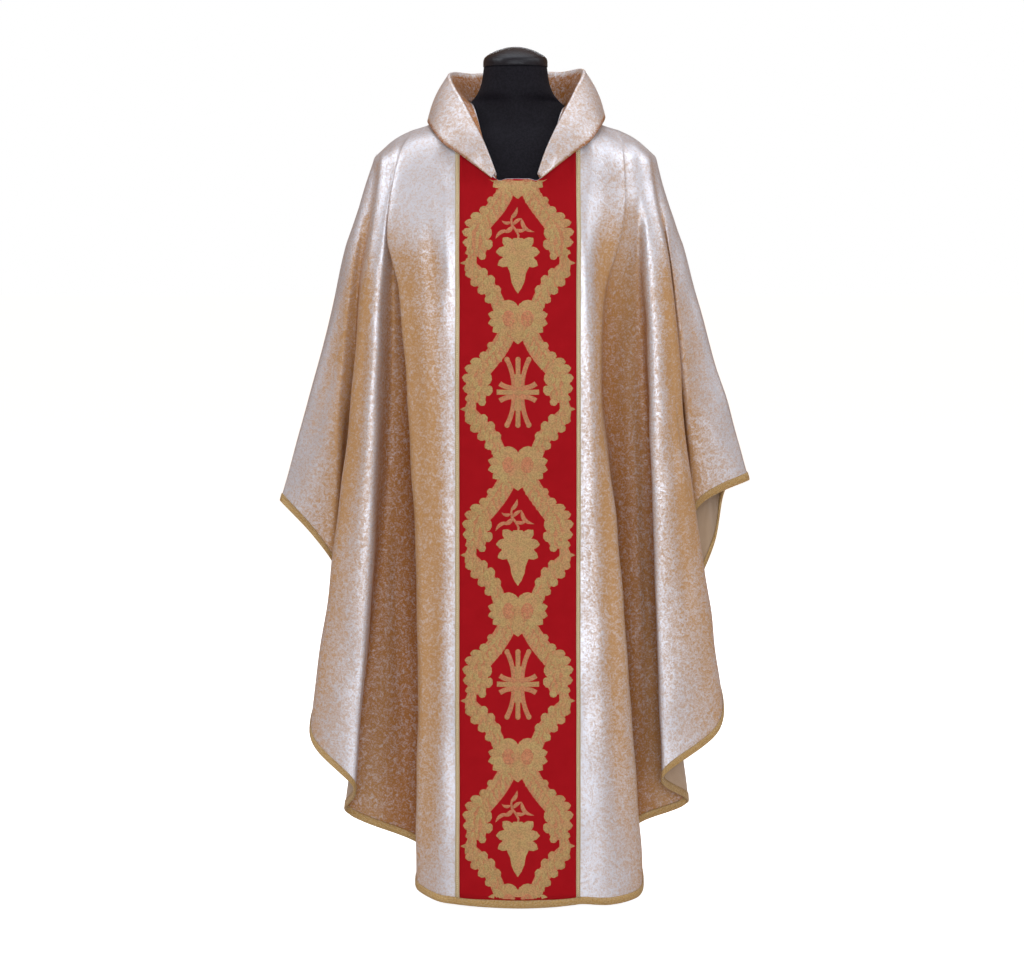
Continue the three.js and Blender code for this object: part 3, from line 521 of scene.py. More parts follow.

# %% [markdown]
# ## Cloth coordinates
# A woven pattern follows the cloth, not space. Each point gets two lengths measured along the
# cloth itself: how far it is round from the garment's middle, and how far up from the hem.
# They become the UV map, in metres, so that a pattern has its real size everywhere.
# A second value tells how open a point lies: 1 on a crest, near 0 at the bottom of a valley.
# The brocade paints shade with it: its silk turns darker ochre where the value is low.

# %% Lengths along the cloth and openness
def cloth_lengths(points, middle):
    """Length round from the middle column, and length up from the hem, in metres."""
    across = np.linalg.norm(np.diff(points, axis=1), axis=2)
    round_length = np.concatenate([np.zeros((len(points), 1)), np.cumsum(across, axis=1)], axis=1)
    round_length -= round_length[:, middle : middle + 1]
    down = np.linalg.norm(np.diff(points, axis=0), axis=2)
    up_length = np.concatenate([np.cumsum(down[::-1], axis=0)[::-1], np.zeros((1, points.shape[1]))])
    return np.stack([round_length, up_length], axis=2) * MM


FOLD_REACH = 90.0
FOLD_SLOPE = 0.45
FOLD_DEPTH = 24.0


def fold_shade(points):
    """1 on the crests, near 0 deep between them, from the height of what stands near."""
    step = np.linalg.norm(np.roll(points, -1, axis=1) - points, axis=2)
    around = np.cumsum(step, axis=1)
    whole = around[:, -1:]
    outward = np.abs(points[..., 1])
    reach = int(FOLD_REACH / np.median(step))
    depth = np.zeros(points.shape[:2])
    for shift in range(-reach, reach + 1):
        away = np.abs(np.roll(around, shift, axis=1) - around)
        away = np.minimum(away, whole - away)
        side = np.roll(points[..., 1], shift, axis=1) * points[..., 1] >= 0
        rise = np.roll(outward, shift, axis=1) - outward - away * FOLD_SLOPE
        depth = np.maximum(depth, np.where(side, rise, 0))
    return np.exp(-smoothed_round(depth, 3) / FOLD_DEPTH)


shade = fold_shade(cloth)
front_middle_column = int(np.nanargmin(np.abs(offsets[front_columns])))
back_middle_column = int(np.nanargmin(np.abs(offsets[back_columns])))
print("middle columns", front_middle_column, back_middle_column)

# %% [markdown]
# ## Painted silver highlights
# The brocade's silver thread is real, but how much of it shows at a place is painted highlight:
# it is put where light falls on the cloth. The table says how much silver is painted along each
# fold line, and the names that begin with "left" belong to the left half of the front, which
# hangs a little differently. Between two lines the value runs evenly. Then more silver is
# painted where the cloth leans back to the light from above, low on open cloth, near the
# shoulders, and on small ridges. Small troughs and closed folds lose it, as painted shade.

# %% Painted silver highlight
HIGHLIGHT_ON_LINES = {
    "panel": 0.55, "edge": 0.15, "valley near": 0.0, "valley far": 0.1, "pleat inner": 0.9,
    "pleat outer": 0.15, "sleeve valley": 0.0, "sleeve inner": 0.4, "sleeve middle": 0.7,
    "channel": 0.5, "valley": 0.05, "seam": 1.25, "left panel": 0.3, "left edge": 0.25,
    "left valley near": 0.05, "left valley far": 0.1, "left pleat inner": 0.9,
    "left pleat outer": 0.2, "left sleeve valley": 0.0, "left sleeve inner": 0.2,
}
HIGHLIGHT_MIDDLE = 0.6
HIGHLIGHT_BESIDE_BAND = 0.9
HIGHLIGHT_OF_LINES = 0.85
HIGHLIGHT_UPWARD = 2.3
HIGHLIGHT_UPRIGHT = 0.1
HIGHLIGHT_LOW = 0.4
HIGHLIGHT_LOW_HEIGHT = 600
HIGHLIGHT_HIGH = 0.3
HIGHLIGHT_HIGH_FROM = 1040
HIGHLIGHT_HIGH_BLEND = 150
HIGHLIGHT_CREASE = 14
HIGHLIGHT_IN_TROUGH = -0.35
HIGHLIGHT_ON_RIDGE = 0.5
OPEN_GAIN = 1.4
OPEN_LOSS = 0.1


def nap_of_columns():
    """How much painted silver highlight lies at each column, from the fold lines on its two sides."""
    names = ["seam"] + ["left " + fold.line for fold in reversed(FRONT_LEFT)]
    names += [None] * (2 * len(front_offsets) + 1) + [fold.line for fold in FRONT_RIGHT]
    names += ["seam"] + [fold.line for fold in reversed(BACK_RIGHT)]
    names += [None] * (2 * len(back_offsets) + 1) + [fold.line for fold in BACK_LEFT]
    values = []
    for name, line in zip(names, loop):
        beside_band = line.offset is not None and abs(line.offset) >= BRAID_EDGE
        plain = HIGHLIGHT_BESIDE_BAND if beside_band else HIGHLIGHT_MIDDLE
        values.append(HIGHLIGHT_ON_LINES[name] if name else plain)
    values.append(values[0])
    return np.concatenate([
        values[i] + (values[i + 1] - values[i]) * np.arange(steps) / steps
        for i, steps in enumerate(line_steps)
    ])


# painted highlight: more silver where the cloth faces up towards the light from above
upward = np.clip(normals[..., 2] * HIGHLIGHT_UPWARD - HIGHLIGHT_UPRIGHT, 0, 1)
low = np.clip(1 - cloth[..., 2] / HIGHLIGHT_LOW_HEIGHT, 0, 1) * np.clip(shade * 2 - 1, 0, 1)
high = np.clip((cloth[..., 2] - HIGHLIGHT_HIGH_FROM) / HIGHLIGHT_HIGH_BLEND, 0, 1)
crest = np.clip(creased / HIGHLIGHT_CREASE, HIGHLIGHT_IN_TROUGH, HIGHLIGHT_ON_RIDGE)
along_lines = nap_of_columns()[None] * HIGHLIGHT_OF_LINES
cloth_nap = np.clip(along_lines + upward + low * HIGHLIGHT_LOW + high * HIGHLIGHT_HIGH + crest, 0, 1)
# painted shade: closed folds lose the painted highlight
cloth_nap = cloth_nap * np.clip(shade * OPEN_GAIN - OPEN_LOSS, 0, 1)
print("mean silver on top", round(float(cloth_nap.mean()), 3))


# %% Mesh helper
def smooth(mesh):
    mesh.polygons.foreach_set("use_smooth", np.ones(len(mesh.polygons), dtype=bool))


def sheet_mesh(name, points, lengths, **shades):
    """A mesh from rows and columns of points in millimetres, its faces pointing out."""
    rows, columns = points.shape[:2]
    index = np.arange(rows * columns).reshape(rows, columns)
    faces = np.stack([index[:-1, :-1], index[1:, :-1], index[1:, 1:], index[:-1, 1:]], axis=2)
    mesh = bpy.data.meshes.new(name)
    mesh.from_pydata((points.reshape(-1, 3) * MM).tolist(), [], faces.reshape(-1, 4).tolist())
    layer = mesh.uv_layers.new(name="cloth")
    corners = np.empty(len(mesh.loops), dtype=np.int32)
    mesh.loops.foreach_get("vertex_index", corners)
    layer.data.foreach_set("uv", lengths.reshape(-1, 2)[corners].ravel().astype(np.float32))
    for key, values in shades.items():
        value = mesh.attributes.new(key, "FLOAT", "POINT")
        value.data.foreach_set("value", values.ravel().astype(np.float32))
    smooth(mesh)
    return put(name, mesh)


def give_thickness(piece, thickness, inside_slot=0):
    """A wall of real thickness that grows inwards from the modelled face."""
    solid = piece.modifiers.new("thickness", "SOLIDIFY")
    solid.thickness = thickness * MM
    solid.offset = -1
    solid.use_even_offset = False
    solid.material_offset = inside_slot


def mesh_area(points):
    """Area of a grid of points in square metres."""
    first, opposite = points[:-1, :-1], points[1:, 1:]
    diagonal = opposite - first
    below = np.linalg.norm(np.cross(points[1:, :-1] - first, diagonal), axis=2)
    above = np.linalg.norm(np.cross(diagonal, points[:-1, 1:] - first), axis=2)
    return float((below + above).sum() / 2 * MM * MM)


# %% [markdown]
# ## Node helpers for materials
# Every finish is made of nodes. A small helper adds a node, sets its values and joins its
# inputs in one call, so that a finish reads like a recipe.

# %% Node helpers
def fill(tree, node, inputs):
    """Gives a node its inputs. Each is a plain value or another node's output."""
    for key, value in inputs.items():
        if isinstance(value, bpy.types.NodeSocket):
            tree.links.new(value, node.inputs[key])
        else:
            node.inputs[key].default_value = value
    return node


def add(tree, kind, inputs=None, **settings):
    """A new node with its settings and its inputs."""
    node = tree.nodes.new(kind)
    for key, value in settings.items():
        setattr(node, key, value)
    return fill(tree, node, inputs or {})


def mix_colour(tree, factor, first, second, blend="MIX"):
    node = add(tree, "ShaderNodeMix", {0: factor, 6: first, 7: second}, data_type="RGBA")
    node.blend_type = blend
    return node.outputs[2]


def spread(tree, value, low, high, to_low=0.0, to_high=1.0):
    """A value moved softly from one range to another."""
    places = {0: value, 1: low, 2: high, 3: to_low, 4: to_high}
    return add(tree, "ShaderNodeMapRange", places, interpolation_type="SMOOTHSTEP").outputs[0]


def maths(tree, operation, first, second=0.0):
    return add(tree, "ShaderNodeMath", {0: first, 1: second}, operation=operation).outputs[0]


def times(tree, first, second):
    return maths(tree, "MULTIPLY", first, second)


def plus(tree, first, second):
    return maths(tree, "ADD", first, second)


def noise(tree, place, scale, detail, distortion=0.0):
    inputs = {"Vector": place, "Scale": scale, "Detail": detail, "Distortion": distortion}
    return add(tree, "ShaderNodeTexNoise", inputs).outputs[0]


def relief(tree, strength, distance, height):
    """A normal that shows a fine height over this distance in metres."""
    inputs = {"Strength": strength, "Distance": distance, "Height": height}
    return add(tree, "ShaderNodeBump", inputs).outputs[0]


def object_place(tree):
    return add(tree, "ShaderNodeTexCoord").outputs["Object"]


def cloth_place(tree):
    return add(tree, "ShaderNodeUVMap", uv_map="cloth").outputs[0]


def group_node(tree, group, inputs):
    return add(tree, "ShaderNodeGroup", inputs, node_tree=group)


def shared_group(name, inputs, outputs):
    """A shader group with named inputs (name, type, value) and named outputs (name, type)."""
    tree = bpy.data.node_groups.new(name, "ShaderNodeTree")
    for label, kind, value in inputs:
        socket = tree.interface.new_socket(label, in_out="INPUT", socket_type=kind)
        socket.default_value = value
    for label, kind in outputs:
        tree.interface.new_socket(label, in_out="OUTPUT", socket_type=kind)
    return tree, add(tree, "NodeGroupInput"), add(tree, "NodeGroupOutput")


def finish_material(name, **plain):
    """A material with its Principled shader; plain values are set on the shader's own inputs."""
    material = bpy.data.materials.new(name)
    material.use_nodes = True
    shader = material.node_tree.nodes["Principled BSDF"]
    for key, value in plain.items():
        shader.inputs[key.replace("_", " ").title().replace("Ior", "IOR")].default_value = value
    return material, material.node_tree, shader


# %% [markdown]
# ## Shared effects
# Three effects are kept as groups, so that any finish can use them. The first is the grain of
# metal thread: a fine roughness with a glitter of single bright threads. The second draws the
# figures of a brocade: short curled dashes with faint rings between them, bent by noise, so
# that no two match. In the brocade both are solid patterns. The cloth passes through them, so
# they keep their size on every fold. The third is a twill for plain woven grounds.

# %% Thread grain group
grain_group, grain_in, grain_out = shared_group(
    "metal thread grain",
    [
        ("Place", "NodeSocketVector", (0, 0, 0)),
        ("Glitter Size", "NodeSocketFloat", 0.0016),
    ],
    [("Glitter", "NodeSocketFloat"), ("Height", "NodeSocketFloat")],
)
place = grain_in.outputs["Place"]
glitter_scale = maths(grain_group, "DIVIDE", 1.0, grain_in.outputs["Glitter Size"])
glitter = noise(grain_group, place, glitter_scale, 1.0)
coarse = noise(grain_group, place, times(grain_group, glitter_scale, 0.5), 1.0)
both = plus(grain_group, glitter, coarse)
fill(grain_group, grain_out, {"Glitter": spread(grain_group, both, 0.78, 1.22), "Height": both})
print("group", grain_group.name)

# %% Brocade figure group
figure_group, figure_in, figure_out = shared_group(
    "brocade figure",
    [
        ("Place", "NodeSocketVector", (0, 0, 0)),
        ("Dash Size", "NodeSocketFloat", 0.0075),
        ("Ring Size", "NodeSocketFloat", 0.03),
        ("Ring Strength", "NodeSocketFloat", 0.35),
    ],
    [("Figure", "NodeSocketFloat")],
)
place = figure_in.outputs["Place"]
dash_scale = maths(figure_group, "DIVIDE", 1.0, figure_in.outputs["Dash Size"])
ring_scale = maths(figure_group, "DIVIDE", 1.0, figure_in.outputs["Ring Size"])
dashes = noise(figure_group, place, dash_scale, 1.0, distortion=1.6)
dash = spread(figure_group, dashes, 0.44, 0.58)
cells = add(figure_group, "ShaderNodeTexVoronoi", {"Vector": place, "Scale": ring_scale})
turns = times(figure_group, cells.outputs["Distance"], 17.0)
wobbly_turns = plus(figure_group, turns, times(figure_group, dashes, 4.0))
ring = spread(figure_group, maths(figure_group, "SINE", wobbly_turns), 0.1, 0.9)
ringed = times(figure_group, ring, figure_in.outputs["Ring Strength"])
drawn = plus(figure_group, times(figure_group, dash, 0.65), ringed)
fill(figure_group, figure_out, {"Figure": drawn})
print("group", figure_group.name)

# %% Twill group
twill_group, twill_in, twill_out = shared_group(
    "twill ground",
    [("Place", "NodeSocketVector", (0, 0, 0)), ("Rib", "NodeSocketFloat", 0.0012)],
    [("Ribs", "NodeSocketFloat"), ("Mottle", "NodeSocketFloat")],
)
place = twill_in.outputs["Place"]
parts = add(twill_group, "ShaderNodeSeparateXYZ", {0: place}).outputs
slant = plus(twill_group, parts[0], times(twill_group, parts[1], 1.6))
rib_turns = maths(twill_group, "DIVIDE", 2 * math.pi, twill_in.outputs["Rib"])
ribs = maths(twill_group, "SINE", times(twill_group, slant, rib_turns))
fill(twill_group, twill_out, {"Ribs": ribs, "Mottle": noise(twill_group, place, 34.0, 3.0)})
print("group", twill_group.name)


# %% [markdown]
# ## The brocade
# Two threads make this cloth: a tan silk that scatters light and a flat silver thread that
# mirrors it. Figure, painted highlight and single glints together say how much silver shows at a
# point. More of it makes the cloth whiter, more metallic and a little smoother. In the valleys the
# silk's colour is painted darker ochre: painted shade for the warm light of their own walls.

# %% Brocade material
SILK = (0.50, 0.275, 0.108, 1.0)
# the silk's colour deep in a valley, painted shade
SILK_PAINTED_SHADE = (0.34, 0.125, 0.022, 1.0)
SILVER = (0.75, 0.765, 0.83, 1.0)
FIGURE_SHARE = 0.31
GLINT_SHARE = 0.31
HIGHLIGHT_SHARE = 0.8
ALL_SILK, ALL_SILVER = 0.1, 1.36

brocade, tree, shader = finish_material("brocade", specular_ior_level=0.3)
space = object_place(tree)
grain = group_node(tree, grain_group, {"Place": space, "Glitter Size": 0.002})
figures = group_node(tree, figure_group, {"Place": space, "Dash Size": 0.009})
fold = add(tree, "ShaderNodeAttribute", attribute_name="fold").outputs["Fac"]
nap = add(tree, "ShaderNodeAttribute", attribute_name="nap").outputs["Fac"]
# painted shade: where the fold value is low the silk takes the darker valley colour
silk = mix_colour(tree, spread(tree, fold, 0.05, 0.85), SILK_PAINTED_SHADE, SILK)
shown = times(tree, figures.outputs["Figure"], FIGURE_SHARE)
glint = times(tree, grain.outputs["Glitter"], GLINT_SHARE)
# painted highlight: the cloth's attribute adds silver where light falls on the cloth
thread = plus(tree, plus(tree, shown, times(tree, nap, HIGHLIGHT_SHARE)), glint)
silver = spread(tree, thread, ALL_SILK, ALL_SILVER)
height = plus(tree, grain.outputs["Height"], times(tree, figures.outputs["Figure"], 0.8))
fill(tree, shader, {
    "Base Color": mix_colour(tree, silver, silk, SILVER),
    "Metallic": spread(tree, silver, 0.0, 1.0, 0.1, 0.75),
    "Roughness": spread(tree, silver, 0.0, 1.0, 0.55, 0.46),
    "Normal": relief(tree, 0.3, 0.0006, height),
})
print("material", brocade.name)

# %% [markdown]
# ## The lining
# The inside of the garment is a plain champagne satin. Only a little of it shows, up inside
# the sleeves and behind the collar, where it lies in shade.

# %% Lining material
CHAMPAGNE_DARK = (0.36, 0.24, 0.15, 1.0)
CHAMPAGNE = (0.50, 0.37, 0.25, 1.0)

lining, tree, shader = finish_material("lining", roughness=0.42, sheen_weight=0.2)
place = cloth_place(tree)
twill = group_node(tree, twill_group, {"Place": place, "Rib": 0.0009})
tone = mix_colour(tree, twill.outputs["Mottle"], CHAMPAGNE_DARK, CHAMPAGNE)
fill(tree, shader, {"Base Color": tone, "Normal": relief(tree, 0.2, 0.0003, twill.outputs["Ribs"])})
print("material", lining.name)


# %% [markdown]
# ## Front and back panels
# Each panel is its stretch of the fine grid, given the cloth's thickness. The seams keep the
# hair's breadth that the solids keep. The inside takes the lining.

# %% Panels
def panel(name, columns, middle, side):
    points = cloth[:, columns].copy()
    on_shoulder = np.abs(points[0, :, 1]) < 1.0
    points[0, on_shoulder, 1] = side * SEAM_GAP / 2
    points[:, 0, 1] = side * SEAM_GAP / 2
    points[:, -1, 1] = side * SEAM_GAP / 2
    lengths = cloth_lengths(points, middle)
    # the cloth carries its painted shade and its painted silver highlight as attributes
    piece = sheet_mesh(name, points, lengths, fold=shade[:, columns], nap=cloth_nap[:, columns])
    piece.data.materials.append(brocade)
    piece.data.materials.append(lining)
    give_thickness(piece, WALL, inside_slot=1)
    return piece, points


front, front_points = panel("chasuble_front", front_columns, front_middle_column, -1)
back, back_points = panel("chasuble_back", back_columns, back_middle_column, 1)

# %% [markdown]
# ## The collar
# One strip of brocade stands up from the neckline, folds over and falls outside, wide at the
# shoulders and pointed at the two ends of the V. The table gives, from the V corner round to
# the centre back, the top of the fold and the free edge. Splines through it give sections as
# close as needed. The fall is a little bowed, as stiffened cloth is.

# %% Collar table
Station = namedtuple("Station", "at fold edge lift right_higher")
COLLAR = [
    Station(0, (34, -105, 1227), (42, -111, 1219), 2.4, 0),
    Station(1, (62, -84, 1296), (92, -97, 1256), 2.9, 2),
    Station(1.5, (88, -48, 1343), (129, -75, 1283), 1.6, 4),
    Station(1.75, (101, -23, 1366), (144, -44, 1304), 0.9, 6),
    Station(2, (113, 4, 1388), (151, -4, 1316), 0.7, 7),
    Station(3, (72, 74, 1403), (104, 96, 1320), 0.7, 2),
    Station(4, (0, 96, 1407), (0, 126, 1322), 0.7, 0),
]
FOLD_RADIUS = 3.2
FALL_BULGE = 5
STAND_STEPS = 8
TURN_STEPS = 8
FALL_STEPS = 18
COLLAR_SECTIONS = 150
COLLAR_AT_SHOULDER = 2
COLLAR_AT_BACK = 4
COLLAR_END = 8
FULL_BULGE_LENGTH = 60
COLLAR_UNEVEN = 0.5
COLLAR_UNEVEN_FROM_ROW = 10
OPEN_COLLAR = 0.8
# painted shade of the stand inside, and a painted shadow line at the free edge
COLLAR_STAND_SHADE = 0.1
COLLAR_RIM_SHADOW = 0.15
COLLAR_HIGHLIGHT = 0.85


# %% Collar shape
def collar_curve(field, at):
    """A named column of the collar table as a smooth curve round both sides."""
    last = COLLAR[-1].at
    rows = [(row, row.at, -1, 0) for row in COLLAR]
    rows += [(row, 2 * last - row.at, 1, row.right_higher) for row in reversed(COLLAR[:-1])]
    places = [place for _, place, _, _ in rows]
    values = []
    for row, _, side, higher in rows:
        x, y, z = getattr(row, field)
        values.append((GARMENT_AXIS / 2 + side * x, y, z + higher))
    return spline(places, values, at)


def neckline(at):
    """Points and normals of the neckline, from one V corner round the back to the other."""
    front_top = front_columns[~np.isnan(offsets[front_columns])]
    back_top = back_columns[~np.isnan(offsets[back_columns])]
    points, directions = [], []
    for place in at:
        from_corner = min(place, COLLAR_END - place)
        on_front = from_corner <= COLLAR_AT_SHOULDER
        columns = front_top if on_front else back_top
        if on_front:
            offset = corner + (NECK_POINT - corner) * from_corner / COLLAR_AT_SHOULDER
        else:
            turn = (COLLAR_AT_BACK - from_corner) / COLLAR_AT_SHOULDER * math.pi / 2
            offset = NECK_POINT * math.sin(turn)
        offset = -offset if place < COLLAR_AT_BACK else offset
        order = columns[np.argsort(offsets[columns])]
        known = offsets[order]
        points.append([np.interp(offset, known, cloth[0, order, k]) for k in range(3)])
        directions.append([np.interp(offset, known, normals[0, order, k]) for k in range(3)])
    return np.array(points), unit(np.array(directions))


def collar_points():
    at = np.linspace(0, COLLAR_END, COLLAR_SECTIONS)
    points, directions = neckline(at)
    from_corner = np.minimum(at, COLLAR_END - at)
    lifts = spline([row.at for row in COLLAR], [row.lift for row in COLLAR], from_corner)
    base = points + directions * lifts[:, None]
    fold = collar_curve("fold", at)
    edge = collar_curve("edge", at)
    rise = unit(fold - (base + edge) / 2)
    across = edge - base
    across = unit(across - rise * (across * rise).sum(axis=1, keepdims=True))
    centre = fold - rise * FOLD_RADIUS
    stand_top = centre - across * FOLD_RADIUS
    rows = [base + (stand_top - base) * k / STAND_STEPS for k in range(STAND_STEPS)]
    for k in range(TURN_STEPS + 1):
        turn = math.pi * k / TURN_STEPS
        outward = across * math.cos(turn) * FOLD_RADIUS
        rows.append(centre - outward + rise * math.sin(turn) * FOLD_RADIUS)
    fold_end = rows[-1]
    out = unit(np.cross(edge - fold_end, np.cross(rise, across)))
    out *= np.sign((out * across).sum(axis=1, keepdims=True))
    length = np.linalg.norm(edge - fold_end, axis=1, keepdims=True)
    for k in range(1, FALL_STEPS + 1):
        share = k / FALL_STEPS
        bulge = FALL_BULGE * math.sin(math.pi * share) * np.clip(length / FULL_BULGE_LENGTH, 0, 1)
        rows.append(fold_end + (edge - fold_end) * share + out * bulge)
    return np.array(rows)[:, ::-1]


collar_grid = collar_points()
wander = unevenness(collar_grid) * COLLAR_UNEVEN
wander *= np.clip(np.arange(len(collar_grid)) / COLLAR_UNEVEN_FROM_ROW, 0, 1)[:, None]
collar_out = np.cross(np.gradient(collar_grid, axis=0), np.gradient(collar_grid, axis=1))
collar_grid = collar_grid + unit(collar_out) * wander[..., None]
collar_lengths = cloth_lengths(collar_grid, COLLAR_SECTIONS // 2)
# painted shade: the collar's outside a little, its stand inside much more, and a painted shadow line
# along the free edge; the painted silver highlight follows this shade
collar_shade = np.full(collar_grid.shape[:2], OPEN_COLLAR)
collar_shade[:STAND_STEPS] = COLLAR_STAND_SHADE
collar_shade[-2:] = COLLAR_RIM_SHADOW
collar_nap = collar_shade * COLLAR_HIGHLIGHT
collar = sheet_mesh("chasuble_collar", collar_grid, collar_lengths, fold=collar_shade, nap=collar_nap)
collar.data.materials.append(brocade)
give_thickness(collar, WALL)
print("collar", collar_grid.shape, "area", round(mesh_area(collar_grid), 3))

# %% [markdown]
# ## The orphrey and its braids
# The orphrey is a red woven band sewn down the middle of the front, and a narrow gold braid
# covers each of its edges. All three are strips of the front's own grid, lifted by their
# thickness, so they follow every crease. The band starts just under the neckline, lower at
# its sides, where the collar stands.

# %% Strips on the front
STRIP_TOP = 0.0035
STRIP_TOP_SIDE = 0.02
STRIP_START_AT_V = 0.3
STRIP_ROWS = 170
STRIP_CROWDING = 1.15


def strip_start(half):
    if half <= corner + 0.01:
        start = 0.0
    else:
        up = (half - corner) / (NECK_POINT - corner)
        start = min(1.0, STRIP_START_AT_V + (1 - STRIP_START_AT_V) * up)
    return STRIP_TOP + (STRIP_TOP_SIDE - STRIP_TOP) * start


def strip_points(from_offset, to_offset, lift):
    """The front's surface between two offsets, lifted, from under the neck to the binding."""
    columns = [c for c in front_columns if from_offset - 0.01 <= offsets[c] <= to_offset + 0.01]
    points = np.empty((STRIP_ROWS, len(columns), 3))
    for j, column in enumerate(columns):
        start = strip_start(abs(offsets[column]))
        places = start + (1 - start) * np.linspace(0, 1, STRIP_ROWS) ** STRIP_CROWDING
        skin = cloth[: binding_row + 1, column] + normals[: binding_row + 1, column] * lift
        for k in range(3):
            points[:, j, k] = np.interp(places, row_shares, skin[:, k])
    return points, offsets[columns]


def strip_lengths(points, across):
    """Across the band from its middle, and up from the hem, in metres."""
    down = np.linalg.norm(np.diff(points, axis=0), axis=2)
    up = np.concatenate([np.cumsum(down[::-1], axis=0)[::-1], np.zeros((1, points.shape[1]))])
    sideways = np.broadcast_to(across, points.shape[:2])
    return np.stack([sideways, up + BINDING_DEPTH], axis=2) * MM


def strip(name, from_offset, to_offset, thickness):
    points, across = strip_points(from_offset, to_offset, STRIP_LIFT + thickness)
    lengths = strip_lengths(points, across)
    piece = sheet_mesh(name, points, lengths)
    give_thickness(piece, thickness)
    return piece, points, lengths


orphrey, orphrey_points, orphrey_lengths = strip(
    "orphrey_band", -ORPHREY_HALF, ORPHREY_HALF, ORPHREY_THICKNESS
)
braids = [
    strip("orphrey_braid_left_cloth", -BRAID_EDGE, -ORPHREY_HALF, BRAID_THICKNESS),
    strip("orphrey_braid_right_cloth", ORPHREY_HALF, BRAID_EDGE, BRAID_THICKNESS),
]

# %% [markdown]
# The band's ground is a clear deep red with the faint slanted ribs of a twill and a slow
# mottle. The braids are pale gold with small chevrons across them.

# %% Red and braid materials
RED_DARK = (0.36, 0.003, 0.008, 1.0)
RED_LIGHT = (0.47, 0.006, 0.013, 1.0)
RED_RIB = (0.25, 0.0015, 0.004, 1.0)
BRAID_DARK = (0.56, 0.42, 0.19, 1.0)
BRAID_LIGHT = (0.92, 0.80, 0.54, 1.0)
BRAID_SHADE = (0.2, 0.13, 0.05, 1.0)
CHEVRON_LENGTH = 0.0035

red_cloth, tree, shader = finish_material("red twill", roughness=0.8, specular_ior_level=0.1)
place = cloth_place(tree)
twill = group_node(tree, twill_group, {"Place": place, "Rib": 0.0014})
ribbed = spread(tree, twill.outputs["Ribs"], -1.0, 1.0, 0.0, 0.4)
tone = mix_colour(tree, twill.outputs["Mottle"], RED_DARK, RED_LIGHT)
tone = mix_colour(tree, ribbed, tone, RED_RIB)
fill(tree, shader, {"Base Color": tone, "Normal": relief(tree, 0.3, 0.0004, twill.outputs["Ribs"])})
orphrey.data.materials.append(red_cloth)

braid_gold, tree, shader = finish_material("pale gold braid", sheen_weight=0.2, metallic=0.35)
place = cloth_place(tree)
parts = add(tree, "ShaderNodeSeparateXYZ", {0: place}).outputs
from_axis = maths(tree, "ABSOLUTE", parts[0])
braid_middle = (ORPHREY_HALF + BRAID_WIDTH / 2) * MM
from_middle = maths(tree, "ABSOLUTE", maths(tree, "SUBTRACT", from_axis, braid_middle))
slant = plus(tree, parts[1], from_middle)
chevron = maths(tree, "SINE", times(tree, slant, 2 * math.pi / CHEVRON_LENGTH))
grain = group_node(tree, grain_group, {"Place": place, "Glitter Size": 0.0012})
pale = mix_colour(tree, spread(tree, chevron, -1.0, 1.0), BRAID_DARK, BRAID_LIGHT)
shaded = spread(tree, grain.outputs["Glitter"], 0.0, 1.0, 0.3, 0.0)
fill(tree, shader, {
    "Base Color": mix_colour(tree, shaded, pale, BRAID_SHADE),
    "Roughness": spread(tree, chevron, -1.0, 1.0, 0.6, 0.42),
    "Normal": relief(tree, 0.6, 0.0006, chevron),
})
for piece, _, _ in braids:
    piece.data.materials.append(braid_gold)
print("materials", red_cloth.name, braid_gold.name)

# %% [markdown]
# ## The woven figures
# The orphrey's gold figures are a traditional chain: leafy wreaths joined by knots, with a
# flared cross and a vine leaf in turn inside them. Every shape here is a brush stroke laid
# flat, a little domed, with its own width along its path. A leaf is a stroke that swells and
# ends in a point. A knot is a few round strokes. Places are millimetres from the medallion's
# centre, first across and then up.

# %% Brush strokes
figure_rng = np.random.default_rng(11)


